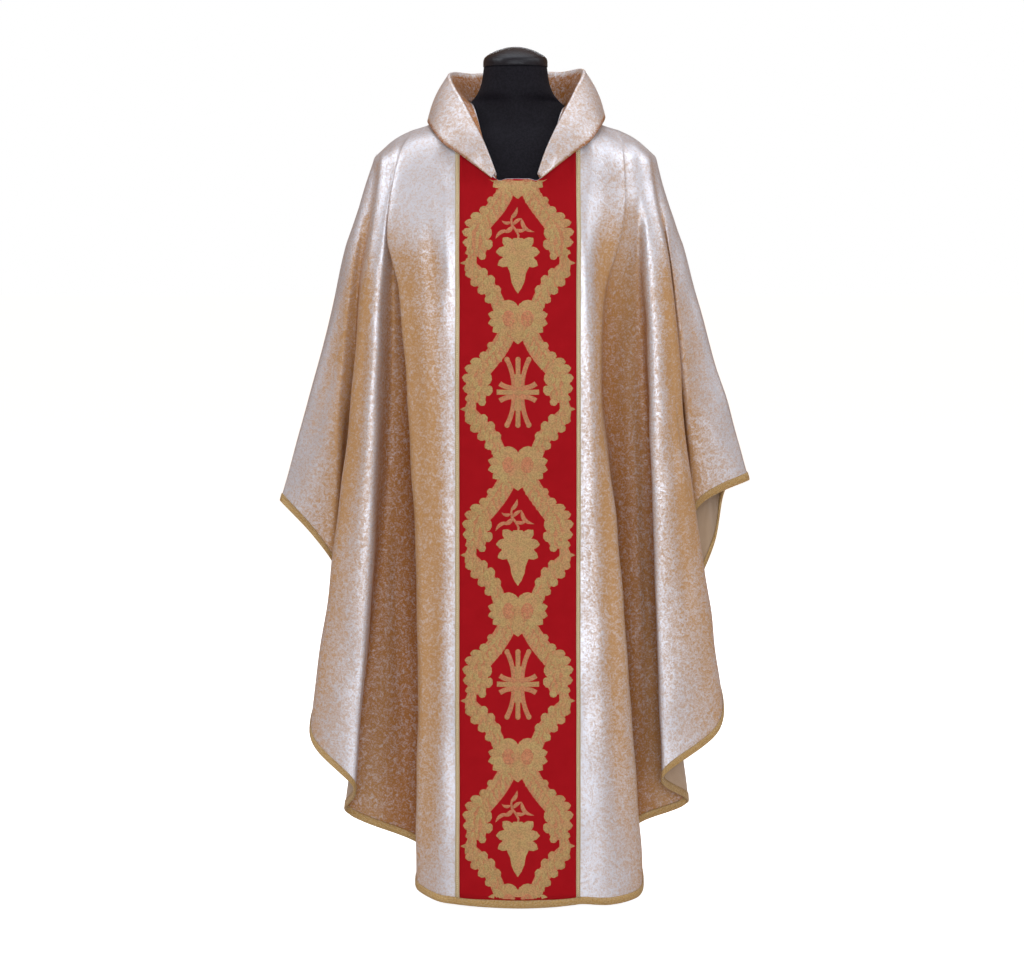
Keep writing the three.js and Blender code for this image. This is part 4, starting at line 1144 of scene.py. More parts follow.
class Figure:
    """Flat shapes gathered as vertices (across, up, raised), faces and colour numbers."""

    def __init__(self):
        self.vertices = []
        self.faces = []
        self.tints = []

    def stroke(self, path, half_widths, raised=0.5, tint=0.5):
        """A domed stroke along a path with a half width at each point."""
        path = np.array(path, float)
        along = unit(np.gradient(path, axis=0))
        across = np.stack([-along[:, 1], along[:, 0]], axis=1)
        start = len(self.vertices)
        profile = [(-1, -0.12), (-0.62, 0.72), (0, 1), (0.62, 0.72), (1, -0.12)]
        for point, side, width in zip(path, across, half_widths):
            dome = raised * min(1, width / 3)
            for share, height in profile:
                x, y = point + side * share * width
                self.vertices.append((x, y, height * dome if height > 0 else height))
                self.tints.append(tint)
        count = len(profile)
        for i in range(len(path) - 1):
            for k in range(count - 1):
                a = start + i * count + k
                self.faces.append((a, a + count, a + count + 1, a + 1))

    def leaf(self, base, tip, half_width, bend=0.0, raised=0.5, tint=0.5, steps=7):
        """A pointed leaf from base to tip; bend bows it sideways by that share of its length."""
        base, tip = np.array(base, float), np.array(tip, float)
        run = tip - base
        side = np.array([-run[1], run[0]])
        shares = np.linspace(0, 1, steps + 1)
        bow = np.sin(np.pi * shares) * bend
        path = base + run * shares[:, None] + side * bow[:, None]
        widths = half_width * (np.sin(np.pi * shares**0.75) ** 0.8 * 0.96 + 0.04)
        self.stroke(path, widths, raised, tint)

    def lobe(self, base, tip, half_width, raised=0.6, tint=0.5, steps=6):
        """A blunt, rounded leaf lobe."""
        base, tip = np.array(base, float), np.array(tip, float)
        shares = np.linspace(0, 1, steps + 1)
        widths = half_width * np.sqrt(np.clip(1 - (2 * shares - 1) ** 2, 0.01, 1))
        self.stroke(base + (tip - base) * shares[:, None], widths, raised, tint)

    def disc(self, centre, radius, raised=0.6, tint=0.5, steps=8):
        turns = np.linspace(0, np.pi, steps + 1)
        path = [(centre[0], centre[1] + radius * math.cos(turn)) for turn in turns]
        self.stroke(path, [radius * max(0.04, math.sin(turn)) for turn in turns], raised, tint)

    def take(self, other, up):
        """Adds another figure's shapes, moved up."""
        start = len(self.vertices)
        self.vertices += [(x, y + up, z) for x, y, z in other.vertices]
        self.faces += [tuple(start + v for v in face) for face in other.faces]
        self.tints += other.tints


# %% [markdown]
# The wreath is two garlands on each side: a broad one that comes down from the knot above and
# ends in a leafy bulge, and a slimmer one that starts at a pointed leaf and runs down to the
# knot below. Blunt lobes on both edges give the scalloped outline, and short leaves laid over
# each garland, a little at random, give the leafy grain. The tables give the right side, and
# the left side mirrors it.

# %% Wreath and knot
PITCH = 242.3
FIRST_KNOT = 8.0
Vein = namedtuple("Vein", "x y half")
Lobe = namedtuple("Lobe", "x y tip_x tip_y half")
UPPER_GARLAND = [
    Vein(13, 106, 16), Vein(21, 90, 18), Vein(32, 71, 18), Vein(46, 52, 18), Vein(60, 36, 19),
    Vein(67, 20, 22), Vein(67, 2, 22), Vein(69, -18, 14),
]
LOWER_GARLAND = [
    Vein(75, -14, 8), Vein(78, -32, 12), Vein(70, -45, 15), Vein(59, -57, 15),
    Vein(48, -69, 15), Vein(38, -84, 14), Vein(30, -103, 14),
]
LOBES = [
    Lobe(38, 76, 51, 77, 7), Lobe(48, 61, 64, 59, 7.5), Lobe(58, 49, 79, 49, 8),
    Lobe(66, 36, 88, 38, 8.5), Lobe(70, 20, 92, 22, 9), Lobe(70, 4, 91, 4, 8.5),
    Lobe(68, -9, 87, -14, 7.5), Lobe(72, -44, 87, -50, 7.5), Lobe(64, -56, 78, -65, 8),
    Lobe(52, -69, 66, -78, 8), Lobe(41, -84, 54, -93, 7.5), Lobe(46, 46, 35, 44, 8),
    Lobe(54, 22, 43, 20, 10), Lobe(54, 4, 42, 0, 9.5), Lobe(63, -12, 55, -22, 7),
    Lobe(62, -46, 50, -42, 8), Lobe(50, -58, 38, -54, 8.5), Lobe(39, -74, 28, -71, 8),
]


def draw_wreath(figure):
    for side in (1, -1):
        for garland in (UPPER_GARLAND, LOWER_GARLAND):
            reach = np.arange(len(garland))
            fine = spline(reach, [tuple(vein) for vein in garland], np.linspace(0, reach[-1], 19))
            path = fine[:, :2] * (side, 1)
            figure.stroke(path, fine[:, 2] * 0.95, raised=0.35, tint=0.85)
            for k in range(1, 18):
                for lean in (-0.62, 0.0, 0.62):
                    lean += figure_rng.uniform(-0.15, 0.15)
                    from_vein = path[k] + (side * fine[k, 2] * lean * 0.6, 6)
                    to_vein = path[k] + (side * fine[k, 2] * lean * 1.1, -7)
                    tint = figure_rng.uniform(0.0, 0.45)
                    half = fine[k, 2] * figure_rng.uniform(0.17, 0.27)
                    figure.leaf(from_vein, to_vein, half, raised=0.85, tint=tint, steps=5)
        for lobe in LOBES:
            tint = figure_rng.uniform(0.05, 0.55)
            base, tip = (side * lobe.x, lobe.y), (side * lobe.tip_x, lobe.tip_y)
            figure.lobe(base, tip, lobe.half, raised=0.6, tint=tint)
        figure.leaf((side * 70, -28), (side * 95, -31), 5, raised=0.6, tint=0.5)


def draw_knot(figure, up):
    for side in (1, -1):
        figure.disc((side * 17, up), 25, raised=0.4, tint=0.6)
        for k in range(6):
            turn = math.radians(-75 + 30 * k)
            base = (side * (15 + 6 * math.cos(turn)), up + 6 * math.sin(turn))
            tip = (side * (20 + 30 * math.cos(turn)), up + 31 * math.sin(turn))
            figure.lobe(base, tip, 8.5, raised=0.6, tint=figure_rng.uniform(0.05, 0.4))
        figure.disc((side * 16, up + 1), 14, raised=0.85, tint=0.95)
        for k in range(5):
            turn = math.radians(72 * k + 20)
            petal = (side * (16 + 7.5 * math.cos(turn)), up + 1 + 7.5 * math.sin(turn))
            figure.disc(petal, 4.6, raised=1.0, tint=figure_rng.uniform(0.6, 1.0), steps=6)
        figure.disc((side * 16, up + 11), 21, raised=0.45, tint=0.3)
    figure.lobe((0, up - 4), (0, up - 41), 13.0, raised=0.5, tint=0.35)


# %% [markdown]
# The cross has upright arms of three strands that spread at their ends, a plain block at its
# heart and short arms of three bars. The vine has one lobed leaf that ends in a long point,
# and over it a stem with small leaves.

# %% Cross and vine
def draw_cross(figure):
    figure.stroke([(0, 30), (0, 0), (0, -30)], [10.0, 12.5, 10.0], raised=0.35, tint=0.45)
    for way in (1, -1):
        for side in (-1, 0, 1):
            path = [(side * (7 + 11 * (k / 8) ** 2.4), way * (2 + 52 * k / 8)) for k in range(9)]
            widths = [3.6 + 0.8 * k / 8 for k in range(9)]
            figure.stroke(path, widths, raised=0.6, tint=0.9 if side else 0.6)
            figure.disc(path[-1], 4.8, raised=0.6, tint=0.7, steps=6)
    for side in (1, -1):
        for level in (-1, 0, 1):
            xs = side * np.linspace(0, 35 if level == 0 else 30, 9)
            path = [(x, level * (7 + 8 * (abs(x) / 31) ** 3)) for x in xs]
            widths = [4.0 + 0.6 * abs(x) / 31 for x in xs]
            figure.stroke(path, widths, raised=0.62, tint=0.85 if level else 0.45)


TWIG = [
    ((-12, 47), (-1, 66), 3.6, -0.12, 0.9),
    ((-8, 36), (7, 47), 3.4, 0.1, 0.95),
    ((6, 47), (27, 24), 3.8, -0.22, 0.95),
    ((-5, 29), (16, 32), 3.2, -0.2, 1.0),
    ((-9, 34), (-25, 24), 4.2, 0.15, 0.98),
    ((-18, 27), (-37, 12), 3.4, -0.15, 0.95),
    ((-12, 41), (-27, 43), 3.0, 0.2, 1.0),
]


def draw_vine(figure):
    body = [
        (14, 8), (3, 22), (-10, 29), (-24, 29), (-34, 20), (-46, 14), (-58, 12), (-69, 7), (-78, 0.5),
    ]
    figure.stroke([(0, y) for y, _ in body], [half for _, half in body], raised=0.5, tint=0.22)
    for side in (1, -1):
        figure.lobe((side * 3, -6), (side * 25, 14), 9.5, raised=0.6, tint=0.2)
        figure.lobe((side * 4, -8), (side * 36, -10), 10.0, raised=0.6, tint=0.24)
        figure.lobe((side * 5, -18), (side * 33, -32), 9.0, raised=0.6, tint=0.2)
        vein = [(0, -10), (side * 10, 0), (side * 18, 8)]
        figure.stroke(vein, [0.8, 0.7, 0.4], raised=2.8, tint=0.6)
    figure.stroke([(0, 8), (0, -20), (0, -62)], [0.9, 0.8, 0.4], raised=2.8, tint=0.6)
    stem = [(0, 10), (1, 19), (-4, 28), (-10, 36), (-11, 45), (-8, 53)]
    figure.stroke(stem, [2.0, 2.0, 2.2, 2.2, 2.0, 1.4], raised=0.6, tint=0.98)
    for base, tip, half, bend, tint in TWIG:
        figure.leaf(base, tip, half, bend, raised=0.6, tint=tint)


# %% [markdown]
# The band repeats one pair: a wreath with a vine leaf, a wreath with a cross, and the knots
# between them. A Geometry Nodes tree sets the pair down as often as needed, bends it onto the
# band by looking up each point's place in the band's own UV map, and cuts what would pass the
# neckline or the hem. To change the repeat, only its inputs change.

# %% The repeated pair as a flat mesh
def pair_mesh():
    placed = Figure()
    for draw, centre in ((draw_cross, PITCH * 1.5), (draw_vine, PITCH * 0.5)):
        medallion = Figure()
        draw_wreath(medallion)
        draw(medallion)
        placed.take(medallion, centre)
    for knot in (0, PITCH):
        draw_knot(placed, knot)
    mesh = bpy.data.meshes.new("woven_pair")
    mesh.from_pydata([tuple(value * MM for value in v) for v in placed.vertices], [], placed.faces)
    tint = mesh.attributes.new("tint", "FLOAT", "POINT")
    tint.data.foreach_set("value", np.array(placed.tints, dtype=np.float32))
    smooth(mesh)
    return mesh


pair = bpy.data.objects.new("woven_pair", pair_mesh())
print("pair faces", len(pair.data.polygons))


# %% Geometry Nodes helpers
def geometry_tree(name, inputs):
    tree = bpy.data.node_groups.new(name, "GeometryNodeTree")
    tree.interface.new_socket("Geometry", in_out="INPUT", socket_type="NodeSocketGeometry")
    for label, kind in inputs:
        tree.interface.new_socket(label, in_out="INPUT", socket_type=kind)
    tree.interface.new_socket("Geometry", in_out="OUTPUT", socket_type="NodeSocketGeometry")
    return tree, add(tree, "NodeGroupInput").outputs, add(tree, "NodeGroupOutput")


def grow(host, tree, values, name):
    """Runs the tree on a host object and returns its result as a plain mesh object."""
    modifier = host.modifiers.new("grow", "NODES")
    modifier.node_group = tree
    for item in tree.interface.items_tree:
        if item.in_out == "INPUT" and item.name in values:
            modifier[item.identifier] = values[item.name]
    graph = bpy.context.evaluated_depsgraph_get()
    mesh = bpy.data.meshes.new_from_object(host.evaluated_get(graph))
    host.modifiers.remove(modifier)
    mesh.name = name
    return put(name, mesh)


# %% Woven chain tree
chain_tree, chain_in, chain_out = geometry_tree(
    "woven chain",
    [
        ("Pair", "NodeSocketObject"),
        ("Count", "NodeSocketInt"),
        ("Repeat", "NodeSocketFloat"),
        ("First Knot", "NodeSocketFloat"),
        ("Lowest", "NodeSocketFloat"),
        ("Highest", "NodeSocketFloat"),
        ("Thread", "NodeSocketMaterial"),
    ],
)
first = add(chain_tree, "ShaderNodeCombineXYZ", {1: chain_in["First Knot"]})
step = add(chain_tree, "ShaderNodeCombineXYZ", {1: chain_in["Repeat"]})
places = add(
    chain_tree,
    "GeometryNodeMeshLine",
    {"Count": chain_in["Count"], "Start Location": first.outputs[0], "Offset": step.outputs[0]},
)
shape = add(chain_tree, "GeometryNodeObjectInfo", {"Object": chain_in["Pair"]})
copies = add(
    chain_tree,
    "GeometryNodeInstanceOnPoints",
    {"Points": places.outputs[0], "Instance": shape.outputs["Geometry"]},
)
real = add(chain_tree, "GeometryNodeRealizeInstances", {0: copies.outputs[0]})
here = add(chain_tree, "GeometryNodeInputPosition").outputs[0]
flat = add(chain_tree, "ShaderNodeSeparateXYZ", {0: here}).outputs
too_high = maths(chain_tree, "GREATER_THAN", flat[1], chain_in["Highest"])
too_low = maths(chain_tree, "LESS_THAN", flat[1], chain_in["Lowest"])
outside = maths(chain_tree, "MAXIMUM", too_high, too_low)
kept = add(chain_tree, "GeometryNodeDeleteGeometry", {0: real.outputs[0], 1: outside})
band_uv = add(
    chain_tree, "GeometryNodeInputNamedAttribute", {"Name": "cloth"}, data_type="FLOAT_VECTOR"
)
lookups = []
for field in ("GeometryNodeInputPosition", "GeometryNodeInputNormal"):
    inputs = {
        "Mesh": chain_in["Geometry"],
        "Value": add(chain_tree, field).outputs[0],
        "Source UV Map": band_uv.outputs[0],
        "Sample UV": here,
    }
    lookup = add(chain_tree, "GeometryNodeSampleUVSurface", inputs, data_type="FLOAT_VECTOR")
    lookups.append(lookup.outputs["Value"])
lift = add(chain_tree, "ShaderNodeVectorMath", {0: lookups[1], "Scale": flat[2]}, operation="SCALE")
on_band = add(chain_tree, "ShaderNodeVectorMath", {0: lookups[0], 1: lift.outputs[0]}, operation="ADD")
moved = {"Geometry": kept.outputs[0], "Position": on_band.outputs[0]}
bent = add(chain_tree, "GeometryNodeSetPosition", moved)
threaded = {"Geometry": bent.outputs[0], "Material": chain_in["Thread"]}
done = add(chain_tree, "GeometryNodeSetMaterial", threaded)
fill(chain_tree, chain_out, {0: done.outputs[0]})
print("tree", chain_tree.name)

# %% [markdown]
# The gold thread changes colour from leaf to leaf, from a green gold over plain gold to a
# warm peach. Each shape carries its tint as a number, and a colour ramp turns it into a
# thread colour. Fine threads across the band give it grain.

# %% Gold thread material
GREEN_GOLD = (0.50, 0.36, 0.13, 1.0)
PLAIN_GOLD = (0.50, 0.28, 0.10, 1.0)
PEACH = (0.56, 0.19, 0.085, 1.0)
WORN_GOLD = (0.62, 0.30, 0.14, 1.0)
GOLD_SHADE = (0.10, 0.05, 0.02, 1.0)
THREAD_PITCH = 0.0011

gold_thread, tree, shader = finish_material("gold thread", metallic=0.3, sheen_weight=0.15)
tint = add(tree, "ShaderNodeAttribute", attribute_name="tint").outputs["Fac"]
space = object_place(tree)
ramp = add(tree, "ShaderNodeValToRGB", {0: tint})
ramp.color_ramp.elements[0].color = GREEN_GOLD
ramp.color_ramp.elements[1].color = PEACH
middle_gold = ramp.color_ramp.elements.new(0.5)
middle_gold.color = PLAIN_GOLD
patch = noise(tree, space, 90.0, 2.0)
upward_place = add(tree, "ShaderNodeSeparateXYZ", {0: space}).outputs[2]
thread = maths(tree, "SINE", times(tree, upward_place, 2 * math.pi / THREAD_PITCH))
grain = group_node(tree, grain_group, {"Place": space, "Glitter Size": 0.0013})
worn = spread(tree, patch, 0.4, 0.7, 0.0, 0.5)
warm = mix_colour(tree, worn, ramp.outputs[0], WORN_GOLD)
deep = mix_colour(tree, 0.5, warm, GOLD_SHADE)
bright = spread(tree, grain.outputs["Glitter"], 0.0, 0.8, 0.25, 1.0)
height = plus(tree, times(tree, thread, 0.4), grain.outputs["Height"])
fill(tree, shader, {
    "Base Color": mix_colour(tree, bright, deep, warm),
    "Roughness": spread(tree, patch, 0.3, 0.7, 0.42, 0.58),
    "Normal": relief(tree, 0.4, 0.0005, height),
})
print("material", gold_thread.name)

# %% Weave the chain onto the band
PAIRS = 3
CLEAR_OF_BINDING = 0.8
CLEAR_OF_NECK = 1.0

band_host = sheet_mesh("band_host", orphrey_points, orphrey_lengths)
band_top = float(orphrey_lengths[0, orphrey_lengths.shape[1] // 2, 1])
woven = grow(
    band_host,
    chain_tree,
    {
        "Pair": pair,
        "Count": PAIRS,
        "Repeat": 2 * PITCH * MM,
        "First Knot": FIRST_KNOT * MM,
        "Lowest": (BINDING_DEPTH + CLEAR_OF_BINDING) * MM,
        "Highest": band_top - CLEAR_OF_NECK * MM,
        "Thread": gold_thread,
    },
    "orphrey_figures",
)
bpy.data.objects.remove(band_host)
print("woven figures", len(woven.data.polygons), "faces")

# %% [markdown]
# ## The hem binding
# A bronze tape folded over the raw edge, so its section is a U. It goes down the outside,
# under the edge and up the inside. It is made from the same grid, for the front and for the
# back, and a pale thread crosses it at a slant.

# %% Hem binding
TAPE_TUCK = 0.5
TAPE_ROUND = 0.8
TAPE_SWELL = 0.35
TAPE_TURN = 0.6
BRONZE_DARK = (0.28, 0.145, 0.03, 1.0)
BRONZE = (0.68, 0.43, 0.14, 1.0)
BRONZE_GLINT = (0.66, 0.52, 0.30, 1.0)
CORD_PITCH = 0.0022


def binding(name, columns, side):
    outside = SEAM_GAP + BINDING_THICKNESS
    top, hem = cloth[binding_row, columns], cloth[-1, columns]
    top_out, hem_out = normals[binding_row, columns], normals[-1, columns]
    down = unit(hem - top)
    rows = [
        top + top_out * (outside - TAPE_TUCK),
        top + top_out * outside + down * TAPE_ROUND,
        (top + hem) / 2 + (top_out + hem_out) / 2 * (outside + TAPE_SWELL),
        hem + hem_out * outside,
        hem + hem_out * TAPE_TURN + down * outside,
        hem - hem_out * (WALL + TAPE_TURN) + down * outside,
        hem - hem_out * (WALL + outside),
        (top + hem) / 2 - (top_out + hem_out) / 2 * (WALL + outside),
        top - top_out * (WALL + outside),
    ]
    points = np.array(rows)
    points[:, 0, 1] = side * SEAM_GAP / 2
    points[:, -1, 1] = side * SEAM_GAP / 2
    piece = sheet_mesh(name, points, cloth_lengths(points, 0))
    give_thickness(piece, BINDING_THICKNESS)
    return piece, points


binding_gold, tree, shader = finish_material("bronze binding", metallic=0.45, sheen_weight=0.15)
place = cloth_place(tree)
parts = add(tree, "ShaderNodeSeparateXYZ", {0: place}).outputs
slant = plus(tree, parts[0], times(tree, parts[1], 0.8))
cords = maths(tree, "SINE", times(tree, slant, 2 * math.pi / CORD_PITCH))
grain = group_node(tree, grain_group, {"Place": place, "Glitter Size": 0.0014})
tone = mix_colour(tree, spread(tree, cords, -1.0, 1.0), BRONZE_DARK, BRONZE)
bright = spread(tree, grain.outputs["Glitter"], 0.2, 1.0, 0.0, 0.6)
fill(tree, shader, {
    "Base Color": mix_colour(tree, bright, tone, BRONZE_GLINT),
    "Roughness": spread(tree, cords, -1.0, 1.0, 0.6, 0.4),
    "Normal": relief(tree, 0.5, 0.0005, cords),
})

front_binding, front_binding_points = binding("hem_binding_front", front_columns, -1)
back_binding, back_binding_points = binding("hem_binding_back", back_columns, 1)
for piece in (front_binding, back_binding):
    piece.data.materials.append(binding_gold)

# %% [markdown]
# ## Stitches
# Small pieces that repeat along a line are work for Geometry Nodes. The tree turns a line of
# points into a curve, sets places along it at the stitch spacing, and lays one short thread at
# each place, turned along the line. The lines lie on the braids, the hem tape and the collar.

# %% Stitch tree
stitch_tree, stitch_in, stitch_out = geometry_tree(
    "running stitch",
    [
        ("Stitch", "NodeSocketObject"),
        ("Length", "NodeSocketFloat"),
        ("Thread", "NodeSocketMaterial"),
    ],
)
line = add(stitch_tree, "GeometryNodeMeshToCurve", {0: stitch_in["Geometry"]})
spacing = {"Curve": line.outputs[0], "Length": stitch_in["Length"]}
dots = add(stitch_tree, "GeometryNodeCurveToPoints", spacing, mode="LENGTH").outputs
turned = add(stitch_tree, "FunctionNodeAlignRotationToVector", {"Vector": dots["Tangent"]}, axis="X")
thread = add(stitch_tree, "GeometryNodeObjectInfo", {"Object": stitch_in["Stitch"]})
laid = add(stitch_tree, "GeometryNodeInstanceOnPoints", {
    "Points": dots["Points"],
    "Instance": thread.outputs["Geometry"],
    "Rotation": turned.outputs[0],
})
real = add(stitch_tree, "GeometryNodeRealizeInstances", {0: laid.outputs[0]})
threaded = {"Geometry": real.outputs[0], "Material": stitch_in["Thread"]}
done = add(stitch_tree, "GeometryNodeSetMaterial", threaded)
fill(stitch_tree, stitch_out, {0: done.outputs[0]})
print("tree", stitch_tree.name)

# %% One stitch and its thread
STITCH_LENGTH = 3.4
STITCH_SPACING = 4.6
STITCH_RADIUS = 0.34
THREAD_DARK = (0.34, 0.25, 0.13, 1.0)
THREAD_LIGHT = (0.62, 0.51, 0.33, 1.0)


def stitch_mesh():
    """A short thread along X with five sides and pointed, sunken ends."""
    stations = [(-0.5, 0.12, -0.5), (-0.3, 0.85, 0.1), (0, 1, 0.3), (0.3, 0.85, 0.1), (0.5, 0.12, -0.5)]
    vertices, faces, sides = [], [], 5
    for share, size, rise in stations:
        for k in range(sides):
            turn = 2 * math.pi * k / sides
            y = STITCH_RADIUS * size * math.cos(turn)
            z = STITCH_RADIUS * (size * math.sin(turn) + rise)
            vertices.append((share * STITCH_LENGTH * MM, y * MM, z * MM))
    for i in range(len(stations) - 1):
        for k in range(sides):
            a, b = i * sides + k, i * sides + (k + 1) % sides
            faces.append((a, a + sides, b + sides, b))
    faces.append(tuple(range(sides)))
    faces.append(tuple(reversed(range((len(stations) - 1) * sides, len(stations) * sides))))
    mesh = bpy.data.meshes.new("stitch")
    mesh.from_pydata(vertices, [], [tuple(reversed(face)) for face in faces])
    smooth(mesh)
    return mesh


stitch = bpy.data.objects.new("stitch", stitch_mesh())
sewing_thread, tree, shader = finish_material("sewing thread", roughness=0.5, sheen_weight=0.2)
space = object_place(tree)
twist = noise(tree, space, 1500.0, 1.0)
tone = mix_colour(tree, twist, THREAD_DARK, THREAD_LIGHT)
fill(tree, shader, {"Base Color": tone, "Normal": relief(tree, 0.4, 0.0002, twist)})


# %% Lay the stitches
def sew(name, points):
    """Running stitches along a line of points in millimetres."""
    mesh = bpy.data.meshes.new(name + "_line")
    edges = [(i, i + 1) for i in range(len(points) - 1)]
    mesh.from_pydata((np.asarray(points) * MM).tolist(), edges, [])
    host = put(name + "_line", mesh)
    inputs = {"Stitch": stitch, "Length": STITCH_SPACING * MM, "Thread": sewing_thread}
    grown = grow(host, stitch_tree, inputs, name)
    bpy.data.objects.remove(host)
    return grown


BRAID_STITCH_INSET = 0.3
BRAID_STITCH_HEIGHT = 0.05
HEM_STITCH_DROP = 0.25
COLLAR_STITCH_HEIGHT = 0.1

seams = {}
for label, (_, points, _) in zip(("left", "right"), braids):
    out = unit(np.cross(np.gradient(points, axis=0), np.gradient(points, axis=1)))
    for edge, column in (("outer", 0), ("inner", -1)):
        inward = 1 if column == 0 else -2
        line = points[:, column] * (1 - BRAID_STITCH_INSET) + points[:, inward] * BRAID_STITCH_INSET
        seams[f"stitches_braid_{label}_{edge}"] = line + out[:, column] * BRAID_STITCH_HEIGHT
for label, points in (("front", front_binding_points), ("back", back_binding_points)):
    seams[f"stitches_hem_{label}"] = points[1] * (1 - HEM_STITCH_DROP) + points[2] * HEM_STITCH_DROP
fall = collar_grid[-3]
fall_out = unit(np.cross(collar_grid[-1] - collar_grid[-3], np.gradient(fall, axis=0)))
seams["stitches_collar_edge"] = fall + fall_out * COLLAR_STITCH_HEIGHT
sewn = {name: sew(name, points) for name, points in seams.items()}
print("stitched lines", len(sewn), "faces", sum(len(piece.data.polygons) for piece in sewn.values()))

# %% [markdown]
# ## The dress form
# The form is a padded torso in black jersey with a flat satin cap on its neck. The CAD solids
# have its true shape with few faces. A copy of each is merged and rounded by subdivision, and
# its rims are creased so that they stay where they are. The cap's top is padded, so it rises
# a little in the middle and falls to its rim.

# %% Form pieces
def weld_and_crease(mesh, sharp_degrees):
    """Merges a CAD node's loose triangles and creases the edges that are sharp."""
    form = bmesh.new()
    form.from_mesh(mesh)
    bmesh.ops.remove_doubles(form, verts=form.verts, dist=1e-6)
    crease = form.edges.layers.float.new("crease_edge")
    for edge in form.edges:
        if len(edge.link_faces) == 2 and edge.calc_face_angle() > math.radians(sharp_degrees):
            edge[crease] = 1.0
    for face in form.faces:
        face.smooth = True
    form.to_mesh(mesh)
    form.free()


def rounded_copy(node_name, name, sharp_degrees, levels):
    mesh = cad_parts[node_name].data.copy()
    mesh.name = name
    mesh.materials.clear()
    piece = put(name, mesh)
    weld_and_crease(mesh, sharp_degrees)
    rounding = piece.modifiers.new("rounding", "SUBSURF")
    rounding.levels = levels
    rounding.render_levels = levels
    return piece


def dome(piece, rise, fall):
    """Lifts the middle of a padded top and lowers its rim."""
    places = np.array([vertex.co for vertex in piece.data.vertices])
    radius = np.linalg.norm(places[:, :2] - places[:, :2].mean(axis=0), axis=1)
    share = (radius / radius.max()) ** 2
    height = (places[:, 2] - places[:, 2].min()) / np.ptp(places[:, 2])
    places[:, 2] += height * (rise * (1 - share) - fall * share)
    piece.data.vertices.foreach_set("co", places.ravel())


CAP_RISE = 0.003
CAP_FALL = 0.010

torso = rounded_copy("form_torso", "form_torso_cover", 62, 2)
neck_cap = rounded_copy("form_neck_cap", "form_neck_cap_cover", 85, 2)
dome(neck_cap, CAP_RISE, CAP_FALL)
pole = rounded_copy("form_pole", "form_pole_tube", 50, 1)
base = rounded_copy("form_base", "form_base_plate", 32, 2)
print("form pieces", torso.name, neck_cap.name, pole.name, base.name)

# %% Form materials
JERSEY_DARK = (0.004, 0.0038, 0.007, 1.0)
JERSEY_LIGHT = (0.009, 0.008, 0.013, 1.0)
SATIN_DARK = (0.006, 0.006, 0.010, 1.0)
SATIN_LIGHT = (0.012, 0.0115, 0.017, 1.0)
COAT_DARK = (0.012, 0.012, 0.013, 1.0)
COAT_LIGHT = (0.026, 0.026, 0.028, 1.0)

jersey, tree, shader = finish_material("black jersey", roughness=0.8, specular_ior_level=0.2)
space = object_place(tree)
knit = group_node(tree, grain_group, {"Place": space, "Glitter Size": 0.002})
tone = mix_colour(tree, knit.outputs["Glitter"], JERSEY_DARK, JERSEY_LIGHT)
fill(tree, shader, {"Base Color": tone, "Normal": relief(tree, 0.3, 0.0004, knit.outputs["Height"])})
torso.data.materials.append(jersey)

satin, tree, shader = finish_material("black satin", specular_ior_level=0.35)
space = object_place(tree)
twill = group_node(tree, twill_group, {"Place": space, "Rib": 0.0008})
tone = mix_colour(tree, twill.outputs["Mottle"], SATIN_DARK, SATIN_LIGHT)
fill(tree, shader, {
    "Base Color": tone,
    "Roughness": spread(tree, twill.outputs["Mottle"], 0.3, 0.7, 0.34, 0.44),
    "Normal": relief(tree, 0.15, 0.0003, twill.outputs["Ribs"]),
})
neck_cap.data.materials.append(satin)

coated, tree, shader = finish_material("powder coat")
space = object_place(tree)
peel = noise(tree, space, 900.0, 2.0)
tone = mix_colour(tree, peel, COAT_DARK, COAT_LIGHT)
fill(tree, shader, {
    "Base Color": tone,
    "Roughness": spread(tree, peel, 0.3, 0.7, 0.38, 0.5),
    "Normal": relief(tree, 0.15, 0.0003, peel),
})
for piece in (pole, base):
    piece.data.materials.append(coated)
print("materials", jersey.name, satin.name, coated.name)

# %% [markdown]
# ## Everything rides on the frame
# The garment and its form are one rigid body here, so each piece rides on the root.

# %% Ride and replace
pieces = [
    (front, "brocade", ["front"]),
    (back, "brocade", ["back"]),
    (collar, "brocade", ["collar"]),
    (orphrey, "orphrey_velvet", ["front_orphrey"]),
    (woven, "gold_braid", []),
    (braids[0][0], "gold_braid", ["orphrey_braid_left"]),
    (braids[1][0], "gold_braid", ["orphrey_braid_right"]),
    (front_binding, "gold_braid", ["front_hem_binding"]),
    (back_binding, "gold_braid", ["back_hem_binding"]),
    (torso, "form_cover", ["form_torso"]),
    (neck_cap, "form_cover", ["form_neck_cap"]),
    (pole, "stand_metal", ["form_pole"]),
    (base, "stand_metal", ["form_base"]),
]
pieces += [(piece, "gold_braid", []) for piece in sewn.values()]
for piece, slot, nodes in pieces:
    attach(piece, "root")
    if nodes:
        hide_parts(*nodes)

print("pieces", len(pieces))

# %% [markdown]
# ## Floor and light
# The photograph has a white studio. The strongest soft light stands behind the camera. Two
# weaker ones hang high at the sides, because the crests of the folds shine from both sides,
# and one hangs above for the shoulders. One more stands behind the garment, for views of its
# back. The room sends warm light between the folds, while the camera sees it white.

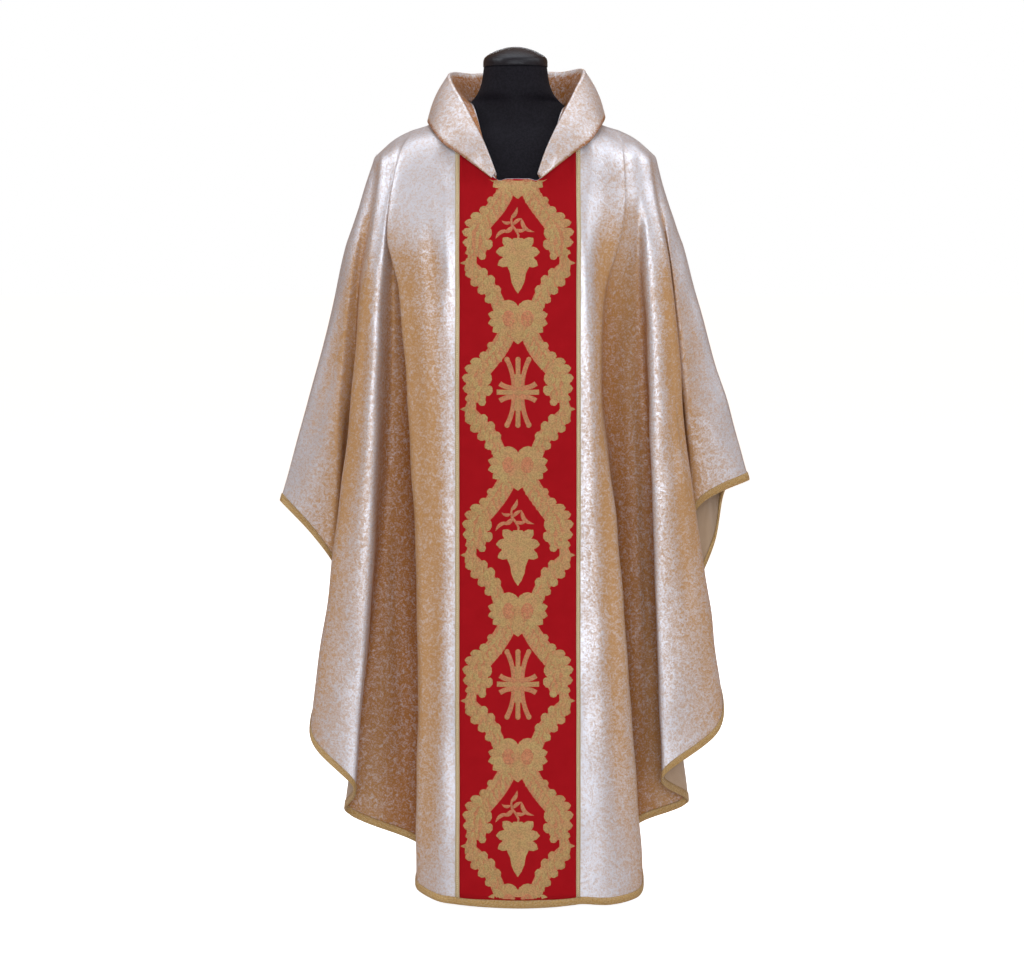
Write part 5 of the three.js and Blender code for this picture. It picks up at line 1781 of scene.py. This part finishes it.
# %% Floor
FLOOR = 60
floor_mesh = bpy.data.meshes.new("floor")
corners = [(-FLOOR, -FLOOR, 0), (FLOOR, -FLOOR, 0), (FLOOR, FLOOR, 0), (-FLOOR, FLOOR, 0)]
floor_mesh.from_pydata(corners, [], [(0, 1, 2, 3)])
floor = put("floor", floor_mesh)
floor_paint, tree, shader = finish_material("pale floor", roughness=0.95, specular_ior_level=0.1)
seen = add(tree, "ShaderNodeLightPath").outputs["Is Camera Ray"]
fill(tree, shader, {
    "Base Color": (0.8, 0.8, 0.8, 1.0),
    "Emission Color": (1.0, 1.0, 1.0, 1.0),
    "Emission Strength": times(tree, seen, 0.94),
})
floor_mesh.materials.append(floor_paint)
print("floor", 2 * FLOOR, "m wide")


# %% Lights and world
WINDOW = (0.82, 0.91, 1.0)


def soft_light(name, place, aim_height, size, power):
    """A cool area light that faces the garment's axis at a height."""
    light = bpy.data.lights.new(name, "AREA")
    light.shape = "RECTANGLE"
    light.size, light.size_y = size
    light.energy = power
    light.color = WINDOW
    lamp = put(name, light)
    lamp.location = place
    direction = np.array((0, 0, aim_height), float) - np.array(place, float)
    flat_length = math.hypot(direction[0], direction[1])
    lamp.rotation_euler = (
        math.atan2(flat_length, -direction[2]),
        0,
        math.atan2(direction[1], direction[0]) - math.pi / 2,
    )


soft_light("front window", (0.2, -4.8, 1.6), 0.8, (1.6, 2.4), 95)
soft_light("left window", (-2.7, -1.0, 3.1), 0.9, (1.8, 1.8), 42)
soft_light("right window", (2.7, -1.0, 3.1), 0.9, (1.8, 1.8), 42)
soft_light("top light", (0, 0.1, 3.8), 1.2, (2.4, 1.8), 42)
soft_light("back window", (0.3, 4.4, 1.9), 0.8, (1.6, 2.2), 60)

WARM_FILL = (0.7, 0.38, 0.18, 1.0)
WHITE = (1.0, 1.0, 1.0, 1.0)
FILL_STRENGTH = 0.36

world = bpy.data.worlds.new("studio")
world.use_nodes = True
bpy.context.scene.world = world
tree = world.node_tree
background = tree.nodes["Background"]
seen = add(tree, "ShaderNodeLightPath").outputs["Is Camera Ray"]
strength = add(tree, "ShaderNodeMapRange", {0: seen, 3: FILL_STRENGTH, 4: 1.0}).outputs[0]
tint = mix_colour(tree, seen, WARM_FILL, WHITE)
fill(tree, background, {"Strength": strength, "Color": tint})
print("lights", len(bpy.data.lights))
